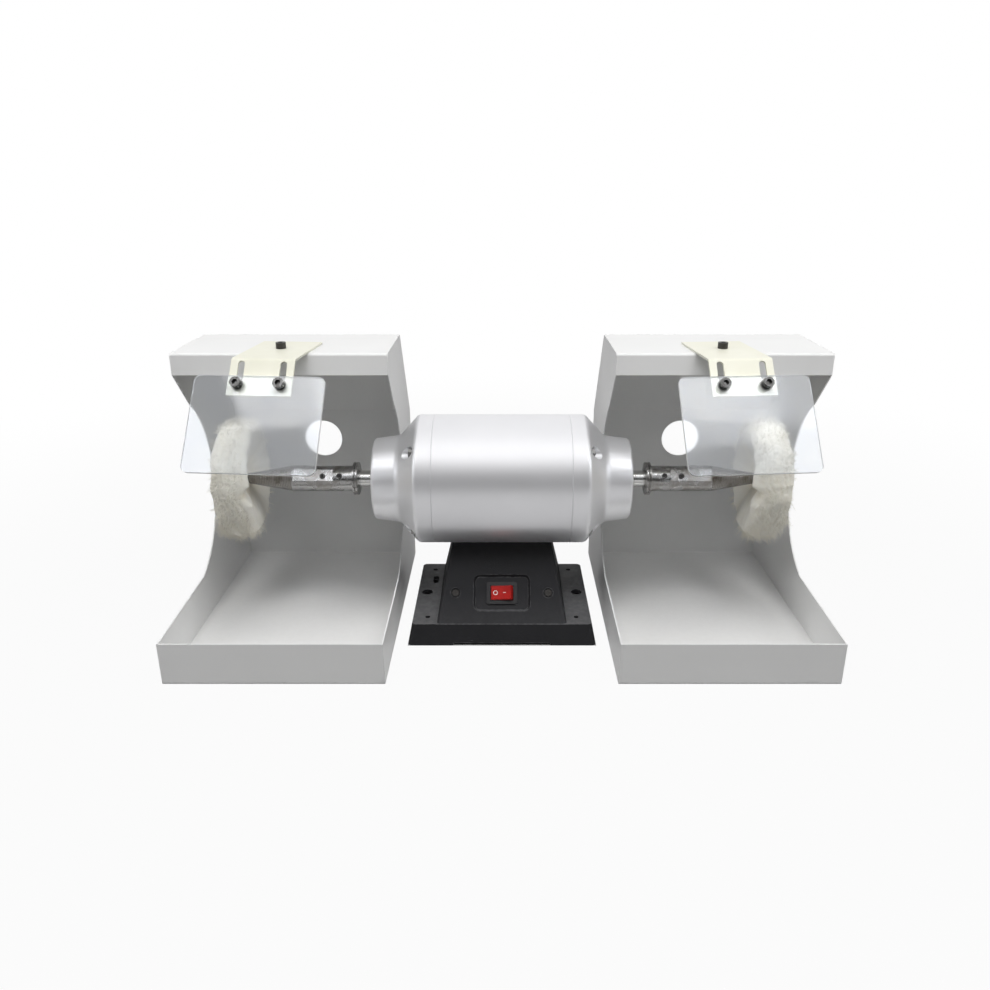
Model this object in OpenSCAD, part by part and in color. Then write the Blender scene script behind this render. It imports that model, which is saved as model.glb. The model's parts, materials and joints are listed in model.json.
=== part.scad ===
// Double-ended dental polishing lathe with two free-standing suction hoods.
// Millimetres. X runs along the motor shaft to the right, Y to the back, Z up.
// The origin lies on the bench, below the middle of the motor.
// Every piece of a side is drawn on the right, and the left one is its mirror image.

/* [Motor housing] */
// Height of the motor axis above the bench
axis_h = 158; // [154:1:170]
// Outer diameter of the barrel and of the end bell rims
motor_d = 137; // [133:1:141]
// Length of the barrel between its two seams
barrel_len = 142; // [138:1:156]
// Wall of the barrel
barrel_wall = 5.5; // [5:0.5:7]
// Straight rim of an end bell, from the seam to the shoulder
bell_rim = 17; // [15:1:22]
// Length of the sloping shoulder
shoulder_len = 20; // [18:1:24]
// Diameter of the neck, where the shoulder ends
neck_d = 93; // [88:1:97]
// Length of the nose, from the neck to its end face
nose_len = 27; // [26:1:32]
// Diameter of the nose at its end face
nose_d = 86; // [82:1:90]
// Casting wall of the end bells
bell_wall = 5; // [4:0.5:6]
// Length of the spigot that centres an end bell in the barrel
spigot_len = 4; // [2:1:6]
// Radius from the motor axis to the four through bolts
bolt_circle_r = 59.5; // [59:0.25:60]
// Diameter of the through bolts
through_d = 5; // [4:0.5:5]
// Diameter of the pocket in which a through bolt's head sits
pocket_d = 13; // [12:0.5:14]

/* [Shaft and bearings] */
// Diameter of the shaft where it leaves the motor
shaft_d = 17; // [15:0.5:18]
// Diameter of the shaft inside the rotor
core_shaft_d = 25; // [24:0.5:28]
// Outer diameter of a ball bearing
bearing_d = 40; // [38:0.5:42]
// Width of a ball bearing
bearing_w = 12; // [10:0.5:12]
// Diameter of a bearing ball
ball_d = 6.5; // [5.5:0.25:7]
// Number of balls in a bearing
ball_count = 8; // [7:1:9]
// Outer diameter of the shaft seals
seal_d = 32; // [30:0.5:34]
// Width of the shaft seals
seal_w = 6; // [4:0.5:6]
// Outer diameter of the rotor core
rotor_d = 70; // [66:1:74]
// Length of the rotor and stator cores
core_len = 80; // [70:1:84]
// Length of the winding heads beside the stator core
winding_len = 18; // [12:1:20]

/* [Spindles and buffs] */
// Distance from the motor's middle to the flange of a spindle
spindle_x = 156; // [152:1:160]
// Diameter of the spindle barrel
spindle_d = 27; // [26:0.5:30]
// Length of the spindle barrel with its flange
spindle_barrel_len = 66; // [60:1:70]
// Length of the threaded taper
taper_len = 68; // [64:1:72]
// Diameter of the taper's tip
tip_d = 4; // [3:0.5:5]
// Depth to which the shaft enters the spindle
socket_len = 44; // [38:1:48]
// Diameter of the spindle flange and of the dust slinger
flange_d = 35; // [33:0.5:38]
// Thickness of the spindle flange and of the dust slinger
flange_t = 2.2; // [1.8:0.1:2.6]
// Distance across the milled flats of the barrel
flat_af = 24; // [23.5:0.25:25]
// Diameter of the cotton buffs
buff_d = 127; // [115:1:130]
// Thickness of a cotton buff at its rim
buff_w = 34; // [28:1:36]
// Distance from the motor's middle to a buff's inner face
buff_x = 262; // [258:1:266]
// Number of cloth sections stitched into a buff
buff_plies = 5; // [3:1:6]

/* [Base] */
// Width of the base at the bench
base_w = 198; // [194:1:206]
// Depth of the base at the bench
base_d = 160; // [154:1:168]
// Width of the flange on top of the skirt
base_top_w = 189; // [186:1:192]
// Depth of the flange on top of the skirt
base_top_d = 148; // [146:1:152]
// Height of the skirt
skirt_h = 22; // [20:1:26]
// Width of the pedestal where it meets the flange
ped_w = 137; // [134:1:140]
// Width of the pedestal under the motor
ped_top_w = 106; // [100:1:112]
// Depth of the pedestal under the motor
ped_top_d = 44; // [40:1:48]
// Wall of the base casting
base_wall = 4; // [3.5:0.25:4.5]
// Thickness of the web that carries the motor
saddle_t = 7; // [6:0.5:9]
// Height of the relief under the front and rear edges
relief_h = 2.5; // [1.5:0.25:3]
// Length of the relief under the front and rear edges
relief_w = 102; // [90:1:110]
// Distance between the two large bench holes
bench_span = 168; // [166:1:170]
// Diameter of the two large bench holes
bench_hole_d = 12; // [10:0.5:13]
// Distance in X between the four small bench holes
corner_span_x = 158; // [156:1:160]
// Distance in Y between the four small bench holes
corner_span_y = 116; // [108:1:120]
// Diameter of the four small bench holes
corner_hole_d = 5.5; // [4.5:0.25:6.5]

/* [Switch panel] */
// Distance up the panel from the flange to the rocker's centre
panel_s = 34; // [32:1:36]
// Width of the recess round the switch
recess_w = 60; // [54:1:64]
// Height of the recess round the switch
recess_h = 39; // [34:1:40]
// Depth of the recess
recess_t = 3; // [2:0.25:3.5]
// Length of the rocker between its curved ends
rocker_len = 24; // [22:0.5:26]
// Width of the rocker
rocker_w = 15; // [13:0.5:17]
// Tilt of the rocker to each side of level
rocker_tilt = 10; // [8:1:12]
// Distance between the two panel screws
panel_screw_span = 98; // [94:1:102]
// Radius of the motor capacitor
cap_r = 13; // [11:0.5:13]
// Length of the motor capacitor
cap_len = 62; // [54:1:70]

/* [Hoods] */
// Distance from the motor's middle to a hood's inner side
hood_x = 113; // [110:1:118]
// Width of a hood
hood_w = 216; // [210:1:224]
// Depth of a hood
hood_d = 308; // [300:1:320]
// Height of a hood
hood_h = 298; // [292:1:306]
// Sheet of the hoods
hood_t = 1.5; // [1:0.25:2]
// Height of the tray's front lip
tray_h = 45; // [38:1:47]
// Height of the sides where the C cut starts
kink_h = 49; // [48:1:54]
// Distance from the tray's front to the roof's front
roof_front = 128; // [124:1:134]
// Depth of the roof
roof_len = 108; // [104:1:114]
// Height of the lip under the roof's front edge
roof_lip = 22; // [16:1:26]
// Height of the upright part of the back
back_h = 194; // [190:1:200]
// Radius of the C cut
cut_r = 106; // [104:1:108]
// Distance from the tray's front to the middle of the C cut
cut_y = 104; // [100:1:106]
// Height of the middle of the C cut
cut_z = 149; // [147:1:152]
// Height on the C cut at which the straight edge to the roof starts
upper_kink_h = 237; // [232:1:242]
// Diameter of the suction port in the back
port_d = 45; // [38:1:54]
// Height of the suction port's centre
port_h = 157; // [150:1:160]

/* [Shield brackets] */
// Width of a bracket
bracket_w = 62; // [58:1:68]
// Sheet of the brackets
bracket_t = 2; // [1.5:0.25:2.5]
// Distance from the roof's front edge back to the bracket screw
screw_back = 14; // [12:1:20]
// Length of the tongue behind its screw
tongue_back = 38; // [30:1:44]
// Length of the tongue from its screw to the bend
tongue_front = 50; // [48:1:56]
// Length of the sloping flange
flange_len = 37; // [36:1:42]
// Angle between the flange and the upright
slope = 36; // [32:1:42]
// Swivel of the bracket away from the motor, as photographed
rest_swivel = 5; // [0:1:8]
// Distance between the two slots
slot_span = 41; // [38:1:46]
// Width of the slots
slot_w = 6.6; // [6.4:0.1:7.2]
// Length of the slots from end to end
slot_len = 29; // [28:1:32]
// Diameter of the bracket and shield screws
screw_d = 6; // [5:0.5:6]

/* [Shields] */
// Width of a shield
shield_w = 126; // [116:1:136]
// Height of a shield along its slope
shield_h = 96; // [90:1:108]
// Thickness of a shield
shield_t = 3; // [2:0.5:4]
// Radius of a shield's corners
shield_r = 7; // [4:1:10]
// Distance from a shield's top edge to its screws
shield_screw_inset = 9; // [8:1:10]

/* [Hidden] */
$fn = 64;

// ---- Clearances ----
fit_gap = 0.02; // pieces seated on each other
run_gap = 0.05; // pieces that turn in each other
slide_gap = 0.2; // pieces that slide on each other
soft_gap = 0.3; // soft pieces and their neighbours
bolt_gap = 0.2; // a bolt in its clearance hole
over = 1; // how far a cut runs past the face it opens
skin = 0.01; // thickness of the plates that a loft is drawn between

// ---- Shared fasteners ----
root_t = 0.5; // how far a screw's shank runs into its head
pan_bevel = 1;
cross_len = 5;
cross_w = 1;
cross_t = 1.2;

// ---- Motor housing ----
motor_r = motor_d / 2;
bore_r = motor_r - barrel_wall;
neck_r = neck_d / 2;
nose_r = nose_d / 2;
seam_x = barrel_len / 2;
rim_x = seam_x + bell_rim;
neck_x = rim_x + shoulder_len;
nose_x = neck_x + nose_len;
seam_chamfer = 0.5;
rim_fillet = 7;
neck_fillet = 11;
nose_fillet = 3;
spigot_t = 4.5;
face_dish_t = 1.5; // shallow dish in the end face, round the seal
web_t = 2.5; // wall between the seal and the bearing
nose_plate_t = web_t + seal_w + face_dish_t;
seam_flange_t = 4; // inner flange that carries the spigot
face_rim = 9; // flat rim outside the dish
boss_wall = 6;
boss_lip = 1; // how far the bearing boss runs past its bearing
bolt_angles = [45, 135, 225, 315];
pocket_wall = 2;
pocket_step = 1.5; // from the end of the rim to the pocket floor
pocket_floor_x = rim_x + pocket_step;
bolt_spare = 1; // length of a screw or bolt that stands out of its nut
through_r = through_d / 2;
head_r = 4.4;
head_h = 5;
hex_key_r = 2.3;
nut_af = 8;
nut_h = 4;
spring_t = 1.5;

// ---- Shaft and bearings ----
shaft_r = shaft_d / 2;
bearing_r = bearing_d / 2;
ring_r = (shaft_r + bearing_r) / 2; // pitch circle of the balls
race_gap = 2.4; // half the space between the two rings of a bearing
groove_r = ball_d / 2 + run_gap;
cage_t = 1.6;
cage_w = 8;
web_x = nose_x - nose_plate_t; // inner face of the wall between seal and bearing
seal_x = web_x + web_t; // inner face of the seal
bearing_out_r = web_x - spring_t; // outer face of the right bearing
bearing_out_l = web_x; // outer face of the left bearing
shoulder_r = shaft_r + 2.5; // shaft shoulder that the bearings seat against
core_shaft_r = core_shaft_d / 2;
air_gap = 0.4;
core_shaft_spare = 12; // how far the thick stretch of the shaft runs past the core
end_ring_t = 7;
end_ring_w = 10;
end_ring_step = 1; // from the core's rim in to the end ring's
winding_in = 5; // winding heads lie outside the rotor by this much
winding_out = 9; // and inside the barrel by this much
winding_round = 4;
slot_count = 24;
slot_depth = 12;
slot_open = 3.4;
seal_step = 1; // clearance of the shaft in the wall behind the seal

// ---- Spindles and buffs ----
spindle_r = spindle_d / 2;
flange_r = flange_d / 2;
flange_chamfer = 0.6;
flange_root = 1; // length of the cone between the flange and the barrel
tip_chamfer = 1;
slinger_space = 0.8; // groove between the slinger's rim and the spindle flange
slinger_step = 0.8; // from the slinger's rim in to its hub
slinger_rim = 1.6; // width of the slinger's flat rim
taper_x = spindle_x + spindle_barrel_len;
tip_x = taper_x + taper_len;
taper_slope = (spindle_r - tip_d / 2) / taper_len;
shaft_end_x = spindle_x + socket_len;
flat_len = 43;
flat_turn = -35; // one flat faces the front, above the axis
set_screw_d = 6;
set_screw_x = [14, 32]; // distances of the set screws from the spindle's inner end
set_screw_turn = 60;
set_screw_sink = 0.5; // depth of a set screw's end below the barrel's surface
hub_r = 15;
hub_w = 14;
ply_depth = 7;
rim_round = 3; // from the rim in to where a cheek starts

// ---- Base ----
base_corner = 5;
ped_corner = 4;
ped_sink = 1; // how deep the pedestal starts inside the flange
foot_z = skirt_h - ped_sink;
saddle_lip = 1; // how far the pedestal's front and rear edges rise beside the barrel
ped_z = axis_h - sqrt(motor_r * motor_r - ped_top_d * ped_top_d / 4) + saddle_lip;
lean = atan2((base_top_d - ped_top_d) / 2, ped_z - foot_z);
panel_wall = base_wall / cos(lean); // the leaning panels' wall, measured along Y
cavity_z = axis_h - motor_r - saddle_t;
cover_z = 4;
cover_t = 1.5;
cover_w = 128;
cover_d = 122;
post_r = 4.5;
post_h = 26;
post_inset = 6;
post_hole_t = 16;
cover_screw_d = 4;
cover_screw_len = 12;
pan_head_r = 3.6;
pan_head_h = 2;
saddle_bolt_span = 60;
saddle_bolt_d = 6;
saddle_head_r = 5;
saddle_head_h = 6;
thread_spare = 0.8; // wall left over the hole of a saddle bolt
side_slot_w = 6.3;
side_slot_len = 18;
side_slot_inset = 8; // from the pedestal's foot to the middle of the slot
side_slot_y = 31;

// ---- Switch panel ----
recess_corner = 7;
recess_draft = 2;
recess_pad = 5;
bezel_rim = 2.4;
bezel_t = 2;
housing_wall = 1.6;
housing_depth = 12;
rocker_r = rocker_len / 2;
rocker_mid = 3.5; // from the pivot to the middle of the rocker's top
rocker_base = 3.5; // from the pivot to the rocker's flat underside
rocker_play = 0.2;
opening_len = rocker_len + 2 * rocker_play;
opening_w = rocker_w + 2 * rocker_play;
housing_len = opening_len + 2 * housing_wall;
housing_w = opening_w + 2 * housing_wall;
pivot_r = 1.25;
pivot_len = 0.9;
blade_w = 4.8;
blade_t = 0.8;
blade_len = 7;
blade_pitch = 7;
panel_screw_d = 4;
panel_screw_recess_d = 10.5;
panel_screw_recess_t = 1.2;
panel_head_r = 4;
panel_head_h = 2.2;
panel_screw_len = 9;
carrier_t = 1.5;
carrier_w = 14;
carrier_toe = 4; // from the screw to the end of the foot
carrier_leg = 7; // from the screw to the leg
strap_t = 1;
strap_w = 12;
strap_r = cap_r + fit_gap + strap_t;
strap_floor = 2.2305; // space between the strap and the bottom cover
cap_tag_pitch = 8;
cap_z = (cover_z + cover_t + strap_floor + strap_r - foot_z - panel_s * cos(lean)) / sin(lean);
carrier_z = cap_z + strap_r + carrier_t;
block_size = [40, 16, 14];
block_y = 36;
block_ways = 4;
block_screw_r = 2.5;
inlet_x = 40;
inlet_s = 22;
inlet_r = 5;
inlet_bore_r = 3.3;
inlet_lip = 2.2;
inlet_lip_t = 1.5;

// ---- Hoods ----
hood_mid_x = hood_x + hood_w / 2;
hood_y = -hood_d / 2; // front of the tray
sheet_bend_r = 3;
roof_back = roof_front + roof_len;
cut_low_a = -asin((cut_z - kink_h) / cut_r);
cut_high_a = asin((upper_kink_h - cut_z) / cut_r);
cut_steps = 40;

// ---- Brackets and shields ----
screw_r = screw_d / 2;
socket_head_r = 5;
socket_head_h = 6;
socket_key_r = 2.9;
hex_af = 10;
hex_h = 5;
washer_r = 6;
washer_t = 1;
bracket_screw_y = hood_y + roof_front + screw_back;
bracket_z = hood_h + slide_gap;
bracket_bend_r = 2.5;
slot_top = 1.5; // from the bend to the top of the slots
shield_screw_s = slot_top + slot_len - slot_w / 2 - soft_gap; // screws near the slots' lower ends
shield_top_s = shield_screw_s - shield_screw_inset;
shield_z = bracket_t + slide_gap; // back face of a shield, from the flange's own back face

// ---- Colours ----
silver_paint = [0.72, 0.72, 0.75];
black_paint = [0.09, 0.09, 0.1];
black_plastic = [0.06, 0.06, 0.07];
red_plastic = [0.8, 0.05, 0.04];
hood_paint = [0.87, 0.87, 0.86];
cream_paint = [0.93, 0.91, 0.78];
clear_plastic = [0.85, 0.9, 0.95, 0.4];
bright_steel = [0.66, 0.65, 0.62];
zinc_plate = [0.75, 0.75, 0.73];
lamination = [0.45, 0.45, 0.47];
copper = [0.72, 0.4, 0.2];
cotton = [0.93, 0.9, 0.82];
black_rubber = [0.12, 0.12, 0.12];
off_white = [0.88, 0.87, 0.83];

// ---- Outlines ----
function unit(v) = v / norm(v);
function turned(v, a) = [v[0] * cos(a) - v[1] * sin(a), v[0] * sin(a) + v[1] * cos(a)];

function arc(c, r, a0, a1, n) =
    [for (i = [0 : n]) let (a = a0 + (a1 - a0) * i / n) c + r * [cos(a), sin(a)]];

// Arc of radius r in the corner p, between the directions to a and to b
function corner(a, p, b, r, n = 6) =
    let (u = unit(a - p), v = unit(b - p), half = acos(u * v) / 2)
    let (c = p + unit(u + v) * r / sin(half))
    let (s = p + u * r / tan(half) - c, e = p + v * r / tan(half) - c)
    let (turn = sign(cross(s, e)) * (180 - 2 * half))
    [for (i = [0 : n]) c + turned(s, turn * i / n)];

// An open path with its inner corners rounded; radii holds one radius for each of them
function rounded_path(path, radii) =
    let (last = len(path) - 1)
    concat([path[0]],
        [for (i = [1 : last - 1]) each corner(path[i - 1], path[i], path[i + 1], radii[i - 1])],
        [path[last]]);

function all_same(path, r) = [for (i = [2 : len(path) - 1]) r];

function side_normal(a, b) = let (d = unit(b - a)) [-d[1], d[0]];

// Point i of a path, moved by t to its left
function beside(path, i, t) =
    let (last = len(path) - 1)
    let (n0 = side_normal(path[max(i - 1, 0)], path[max(i, 1)]))
    let (n1 = side_normal(path[min(i, last - 1)], path[min(i + 1, last)]))
    path[i] + (n0 + n1) * t / (1 + n0 * n1);

// Section of a sheet of thickness t folded along a path, on the path's left
function sheet_section(path, t) =
    concat(path, [for (i = [len(path) - 1 : -1 : 0]) beside(path, i, t)]);

function rounded_rectangle(w, h, r) =
    concat(arc([w / 2 - r, h / 2 - r], r, 0, 90, 8), arc([r - w / 2, h / 2 - r], r, 90, 180, 8),
        arc([r - w / 2, r - h / 2], r, 180, 270, 8), arc([w / 2 - r, r - h / 2], r, 270, 360, 8));

// ---- Placing ----
module on_left() { mirror([1, 0, 0]) children(); }

module on_axis() { translate([0, 0, axis_h]) children(); }

// Revolves an outline of [radius, distance along X] about the motor axis
module turned_on_axis() { on_axis() rotate([0, 90, 0]) rotate_extrude() children(); }

// A solid cylinder on the motor axis, from x0 to x1
module round_bar(x0, x1, r) {
    on_axis() translate([x0, 0, 0]) rotate([0, 90, 0]) cylinder(h = x1 - x0, r = r);
}

// A ring on the motor axis
module round_ring(x0, x1, r_in, r_out) {
    turned_on_axis() translate([r_in, x0]) square([r_out - r_in, x1 - x0]);
}

// Repeats a child at each through bolt, with its own X axis along the bolt
module at_through_bolts() {
    for (a = bolt_angles) on_axis() rotate([a, 0, 0]) translate([0, bolt_circle_r, 0]) children();
}

// The pedestal's front panel: x along the motor, y up the slope from the flange, z out of it
module on_panel(x, s) {
    translate([x, -base_top_d / 2, foot_z]) rotate([90 - lean, 0, 0]) translate([0, s, 0]) children();
}

module on_rear_panel(x, s) { mirror([0, 1, 0]) on_panel(x, s) children(); }

// A bracket's own frame on the right hood's roof, with its forward direction along -Y
module on_roof_screw() {
    translate([hood_mid_x, bracket_screw_y, bracket_z]) rotate([0, 0, rest_swivel]) children();
}

// The bracket flange: x across, y up the slope from the bend, z out of its front
module on_flange() {
    on_roof_screw() translate([0, -tongue_front, 0]) rotate([90 - slope, 0, 0]) children();
}

module at_shield_screws() {
    for (x = [-slot_span / 2, slot_span / 2]) on_flange() translate([x, -shield_screw_s, 0]) children();
}

// ---- Shared fasteners ----
// Socket head cap screw: its shank runs down from z = 0 and its head stands on z = 0
module socket_screw(shank_r, shank_len, cap_r, cap_h, key_r) {
    translate([0, 0, -shank_len]) cylinder(h = shank_len + root_t, r = shank_r);
    difference() {
        cylinder(h = cap_h, r = cap_r);
        translate([0, 0, cap_h / 2]) cylinder(h = cap_h, r = key_r, $fn = 6);
    }
}

// Hexagon nut standing on z = 0
module hex_nut(af, h, thread_r) {
    difference() {
        cylinder(h = h, r = af / sqrt(3), $fn = 6);
        translate([0, 0, -over]) cylinder(h = h + 2 * over, r = thread_r);
    }
}

// Pan head screw with a cross slot, head on z = 0 and shank downwards
module pan_screw(shank_r, shank_len, pan_r, pan_h) {
    translate([0, 0, -shank_len]) cylinder(h = shank_len + root_t, r = shank_r);
    difference() {
        union() {
            cylinder(h = pan_h - pan_bevel, r = pan_r);
            translate([0, 0, pan_h - pan_bevel]) cylinder(h = pan_bevel, r1 = pan_r, r2 = pan_r - pan_bevel);
        }
        for (a = [0, 90]) rotate([0, 0, a]) translate([-cross_len / 2, -cross_w / 2, pan_h - cross_t])
            cube([cross_len, cross_w, cross_t + over]);
    }
}

// ---- Base ----
// Tapering block with rounded upright corners between two levels
module loft(size0, z0, size1, z1, r) {
    hull() for (level = [[size0, z0], [size1, z1 - skin]], i = [-1, 1], j = [-1, 1])
        translate([i * (level[0][0] / 2 - r), j * (level[0][1] / 2 - r), level[1]])
            cylinder(h = skin, r = r, $fn = 32);
}

function ped_w_at(z) = ped_w + (ped_top_w - ped_w) * (z - foot_z) / (ped_z - foot_z);
function ped_d_at(z) = base_top_d + (ped_top_d - base_top_d) * (z - foot_z) / (ped_z - foot_z);

// Size of the space inside the pedestal at a level
function space_at(z) = [ped_w_at(z) - 2 * base_wall, ped_d_at(z) - 2 * panel_wall];

module base_outside() {
    loft([base_w, base_d], 0, [base_top_w, base_top_d], skirt_h, base_corner);
    loft([ped_w, base_top_d], foot_z, [ped_top_w, ped_top_d], ped_z, ped_corner);
}

module base_inside() {
    under = skirt_h - base_wall;
    loft([base_w - 2 * base_wall, base_d - 2 * panel_wall], -over,
        [base_top_w - 2 * base_wall, base_top_d - 2 * panel_wall], under, base_corner);
    loft(space_at(under - over), under - over, space_at(cavity_z), cavity_z, ped_corner);
}

module at_posts() {
    post_x = cover_w / 2 - post_inset;
    post_y = cover_d / 2 - post_inset;
    for (i = [-1, 1], j = [-1, 1]) translate([i * post_x, j * post_y, cover_z + cover_t]) children();
}

// Thicker stretch of the front panel, behind the switch recess
module switch_seat() {
    depth = recess_t + base_wall;
    on_panel(0, panel_s) translate([0, 0, -depth]) linear_extrude(depth)
        polygon(rounded_rectangle(recess_w + 2 * recess_pad, recess_h + 2 * recess_pad, recess_corner));
}

// Recess with sloping flanks, and the cut-out for the switch
module switch_recess() {
    on_panel(0, panel_s) {
        hull() {
            translate([0, 0, -recess_t]) linear_extrude(skin)
                polygon(rounded_rectangle(recess_w - 2 * recess_draft, recess_h - 2 * recess_draft,
                    recess_corner - recess_draft));
            translate([0, 0, skin]) linear_extrude(over)
                polygon(rounded_rectangle(recess_w, recess_h, recess_corner));
        }
        translate([0, 0, -recess_t - base_wall])
            cube([housing_len + 2 * bolt_gap, housing_w + 2 * bolt_gap, 2 * base_wall + over], center = true);
    }
}

// Counterbored holes for the two panel screws
module panel_screw_holes() {
    for (x = [-panel_screw_span / 2, panel_screw_span / 2]) on_panel(x, panel_s) {
        translate([0, 0, -base_wall - over])
            cylinder(h = base_wall + 2 * over, r = panel_screw_d / 2 + bolt_gap);
        translate([0, 0, -panel_screw_recess_t])
            cylinder(h = panel_screw_recess_t + over, d = panel_screw_recess_d);
    }
}

module flange_hole(x, y, d) {
    translate([x, y, skirt_h - base_wall - over]) cylinder(h = base_wall + 2 * over, d = d);
}

// Bench holes in both side flanges, and the slot in the left one
module bench_holes() {
    slot_x = -ped_w / 2 - side_slot_inset;
    slot_half = (side_slot_len - side_slot_w) / 2;
    for (i = [-1, 1]) {
        flange_hole(i * bench_span / 2, 0, bench_hole_d);
        for (j = [-1, 1]) flange_hole(i * corner_span_x / 2, j * corner_span_y / 2, corner_hole_d);
        flange_hole(slot_x, side_slot_y + i * slot_half, side_slot_w);
    }
    translate([slot_x - side_slot_w / 2, side_slot_y - slot_half, skirt_h - base_wall - over])
        cube([side_slot_w, 2 * slot_half, base_wall + 2 * over]);
}

module base_casting() {
    color(black_paint) difference() {
        union() {
            difference() {
                base_outside();
                base_inside();
            }
            // Seat behind the switch recess, and posts for the bottom cover
            intersection() {
                base_outside();
                union() {
                    switch_seat();
                    at_posts() cylinder(h = post_h, r = post_r);
                }
            }
        }
        // Saddle for the barrel
        round_bar(-barrel_len, barrel_len, motor_r + fit_gap);
        switch_recess();
        panel_screw_holes();
        bench_holes();
        // Reliefs between the corner pads, under the front and rear edges
        translate([-relief_w / 2, -base_d, -over]) cube([relief_w, 2 * base_d, relief_h + over]);
        for (x = [-saddle_bolt_span / 2, saddle_bolt_span / 2]) translate([x, 0, cavity_z - over])
            cylinder(h = saddle_t + 2 * over, r = saddle_bolt_d / 2 + bolt_gap);
        at_posts() translate([0, 0, -over]) cylinder(h = post_hole_t + over, r = cover_screw_d / 2 + fit_gap);
        on_rear_panel(inlet_x, inlet_s) translate([0, 0, -2 * base_wall])
            cylinder(h = 3 * base_wall, r = inlet_r + fit_gap);
    }
}

module base_cover() {
    color(zinc_plate) difference() {
        translate([-cover_w / 2, -cover_d / 2, cover_z]) cube([cover_w, cover_d, cover_t]);
        at_posts() translate([0, 0, -cover_t - over])
            cylinder(h = cover_t + 2 * over, r = cover_screw_d / 2 + bolt_gap);
    }
}

module base_cover_screws() {
    color(bright_steel) at_posts() translate([0, 0, -cover_t]) mirror([0, 0, 1])
        pan_screw(cover_screw_d / 2, cover_screw_len, pan_head_r, pan_head_h);
}

module saddle_bolts() {
    reach = saddle_t + barrel_wall - thread_spare - slide_gap;
    color(zinc_plate) for (x = [-saddle_bolt_span / 2, saddle_bolt_span / 2])
        translate([x, 0, cavity_z]) mirror([0, 0, 1])
            socket_screw(saddle_bolt_d / 2, reach, saddle_head_r, saddle_head_h, socket_key_r);
}

module panel_screws() {
    color(zinc_plate) for (x = [-panel_screw_span / 2, panel_screw_span / 2])
        on_panel(x, panel_s) translate([0, 0, -panel_screw_recess_t])
            pan_screw(panel_screw_d / 2, panel_screw_len, panel_head_r, panel_head_h);
}

// ---- Switch ----
// The switch's own frame: its pivot line is the y axis, on the floor of the recess
module on_switch() { on_panel(0, panel_s) translate([0, 0, -recess_t]) children(); }

module switch_housing() {
    socket_w = rocker_w + 2 * (pivot_len + rocker_play + slide_gap); // between the pivots' sockets
    color(black_plastic) on_switch() difference() {
        union() {
            linear_extrude(bezel_t)
                polygon(rounded_rectangle(housing_len + 2 * bezel_rim, housing_w + 2 * bezel_rim, bezel_rim));
            translate([-housing_len / 2, -housing_w / 2, -housing_depth])
                cube([housing_len, housing_w, housing_depth + over]);
        }
        translate([-opening_len / 2, -opening_w / 2, housing_wall - housing_depth])
            cube([opening_len, opening_w, housing_depth + bezel_t + over]);
        rotate([90, 0, 0]) cylinder(h = socket_w, r = pivot_r + run_gap, center = true);
    }
}

module switch_rocker() {
    wing = rocker_len * tan(rocker_tilt);
    color(red_plastic) on_switch() rotate([0, -rocker_tilt, 0]) rotate([90, 0, 0]) {
        linear_extrude(rocker_w, center = true) intersection() {
            circle(r = rocker_r);
            polygon([[-rocker_len, -rocker_base], [rocker_len, -rocker_base],
                [rocker_len, rocker_mid + wing], [0, rocker_mid], [-rocker_len, rocker_mid + wing]]);
        }
        cylinder(h = rocker_w + 2 * pivot_len, r = pivot_r, center = true);
    }
}

module switch_terminals() {
    color(copper) on_switch() for (x = [-blade_pitch, 0, blade_pitch])
        translate([x - blade_t / 2, -blade_w / 2, -housing_depth - blade_len])
            cube([blade_t, blade_w, blade_len]);
}

// ---- Capacitor, terminals and cable inlet ----
module capacitor_carrier() {
    leg = panel_screw_span / 2 - carrier_leg;
    foot = panel_screw_span / 2 + carrier_toe;
    path = [[-foot, -base_wall], [-leg, -base_wall], [-leg, carrier_z], [leg, carrier_z],
        [leg, -base_wall], [foot, -base_wall]];
    color(zinc_plate) on_panel(0, panel_s) difference() {
        rotate([90, 0, 0]) linear_extrude(carrier_w, center = true) polygon(sheet_section(path, -carrier_t));
        for (x = [-panel_screw_span / 2, panel_screw_span / 2])
            translate([x, 0, -base_wall - carrier_t - over])
                cylinder(h = carrier_t + 2 * over, r = panel_screw_d / 2 + bolt_gap);
    }
}

module capacitor() {
    color(off_white) on_panel(0, panel_s) translate([0, 0, cap_z]) rotate([0, 90, 0]) {
        cylinder(h = cap_len, r = cap_r, center = true);
        for (y = [-cap_tag_pitch / 2, cap_tag_pitch / 2])
            translate([-blade_w / 2, y - blade_t / 2, cap_len / 2 - root_t])
                cube([blade_w, blade_t, blade_len + root_t]);
    }
}

// Clamp band round the capacitor and its carrier
module capacitor_strap() {
    half = carrier_w / 2 + fit_gap;
    color(zinc_plate) on_panel(0, panel_s) rotate([90, 0, 90])
        linear_extrude(strap_w, center = true) difference() {
        union() {
            translate([0, cap_z]) circle(r = strap_r);
            translate([-half - strap_t, cap_z])
                square([2 * (half + strap_t), carrier_z + strap_t + fit_gap - cap_z]);
        }
        translate([0, cap_z]) circle(r = cap_r + fit_gap);
        translate([-half, cap_z]) square([2 * half, carrier_z + fit_gap - cap_z]);
    }
}

module terminal_block() {
    way = block_size[0] / block_ways;
    color(off_white) translate([-block_size[0] / 2, block_y - block_size[1] / 2, cover_z + cover_t])
        difference() {
        cube(block_size);
        for (i = [0 : block_ways - 1])
            translate([(i + 0.5) * way, block_size[1] / 2, block_size[2] / 2])
                cylinder(h = block_size[2], r = block_screw_r);
    }
}

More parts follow.
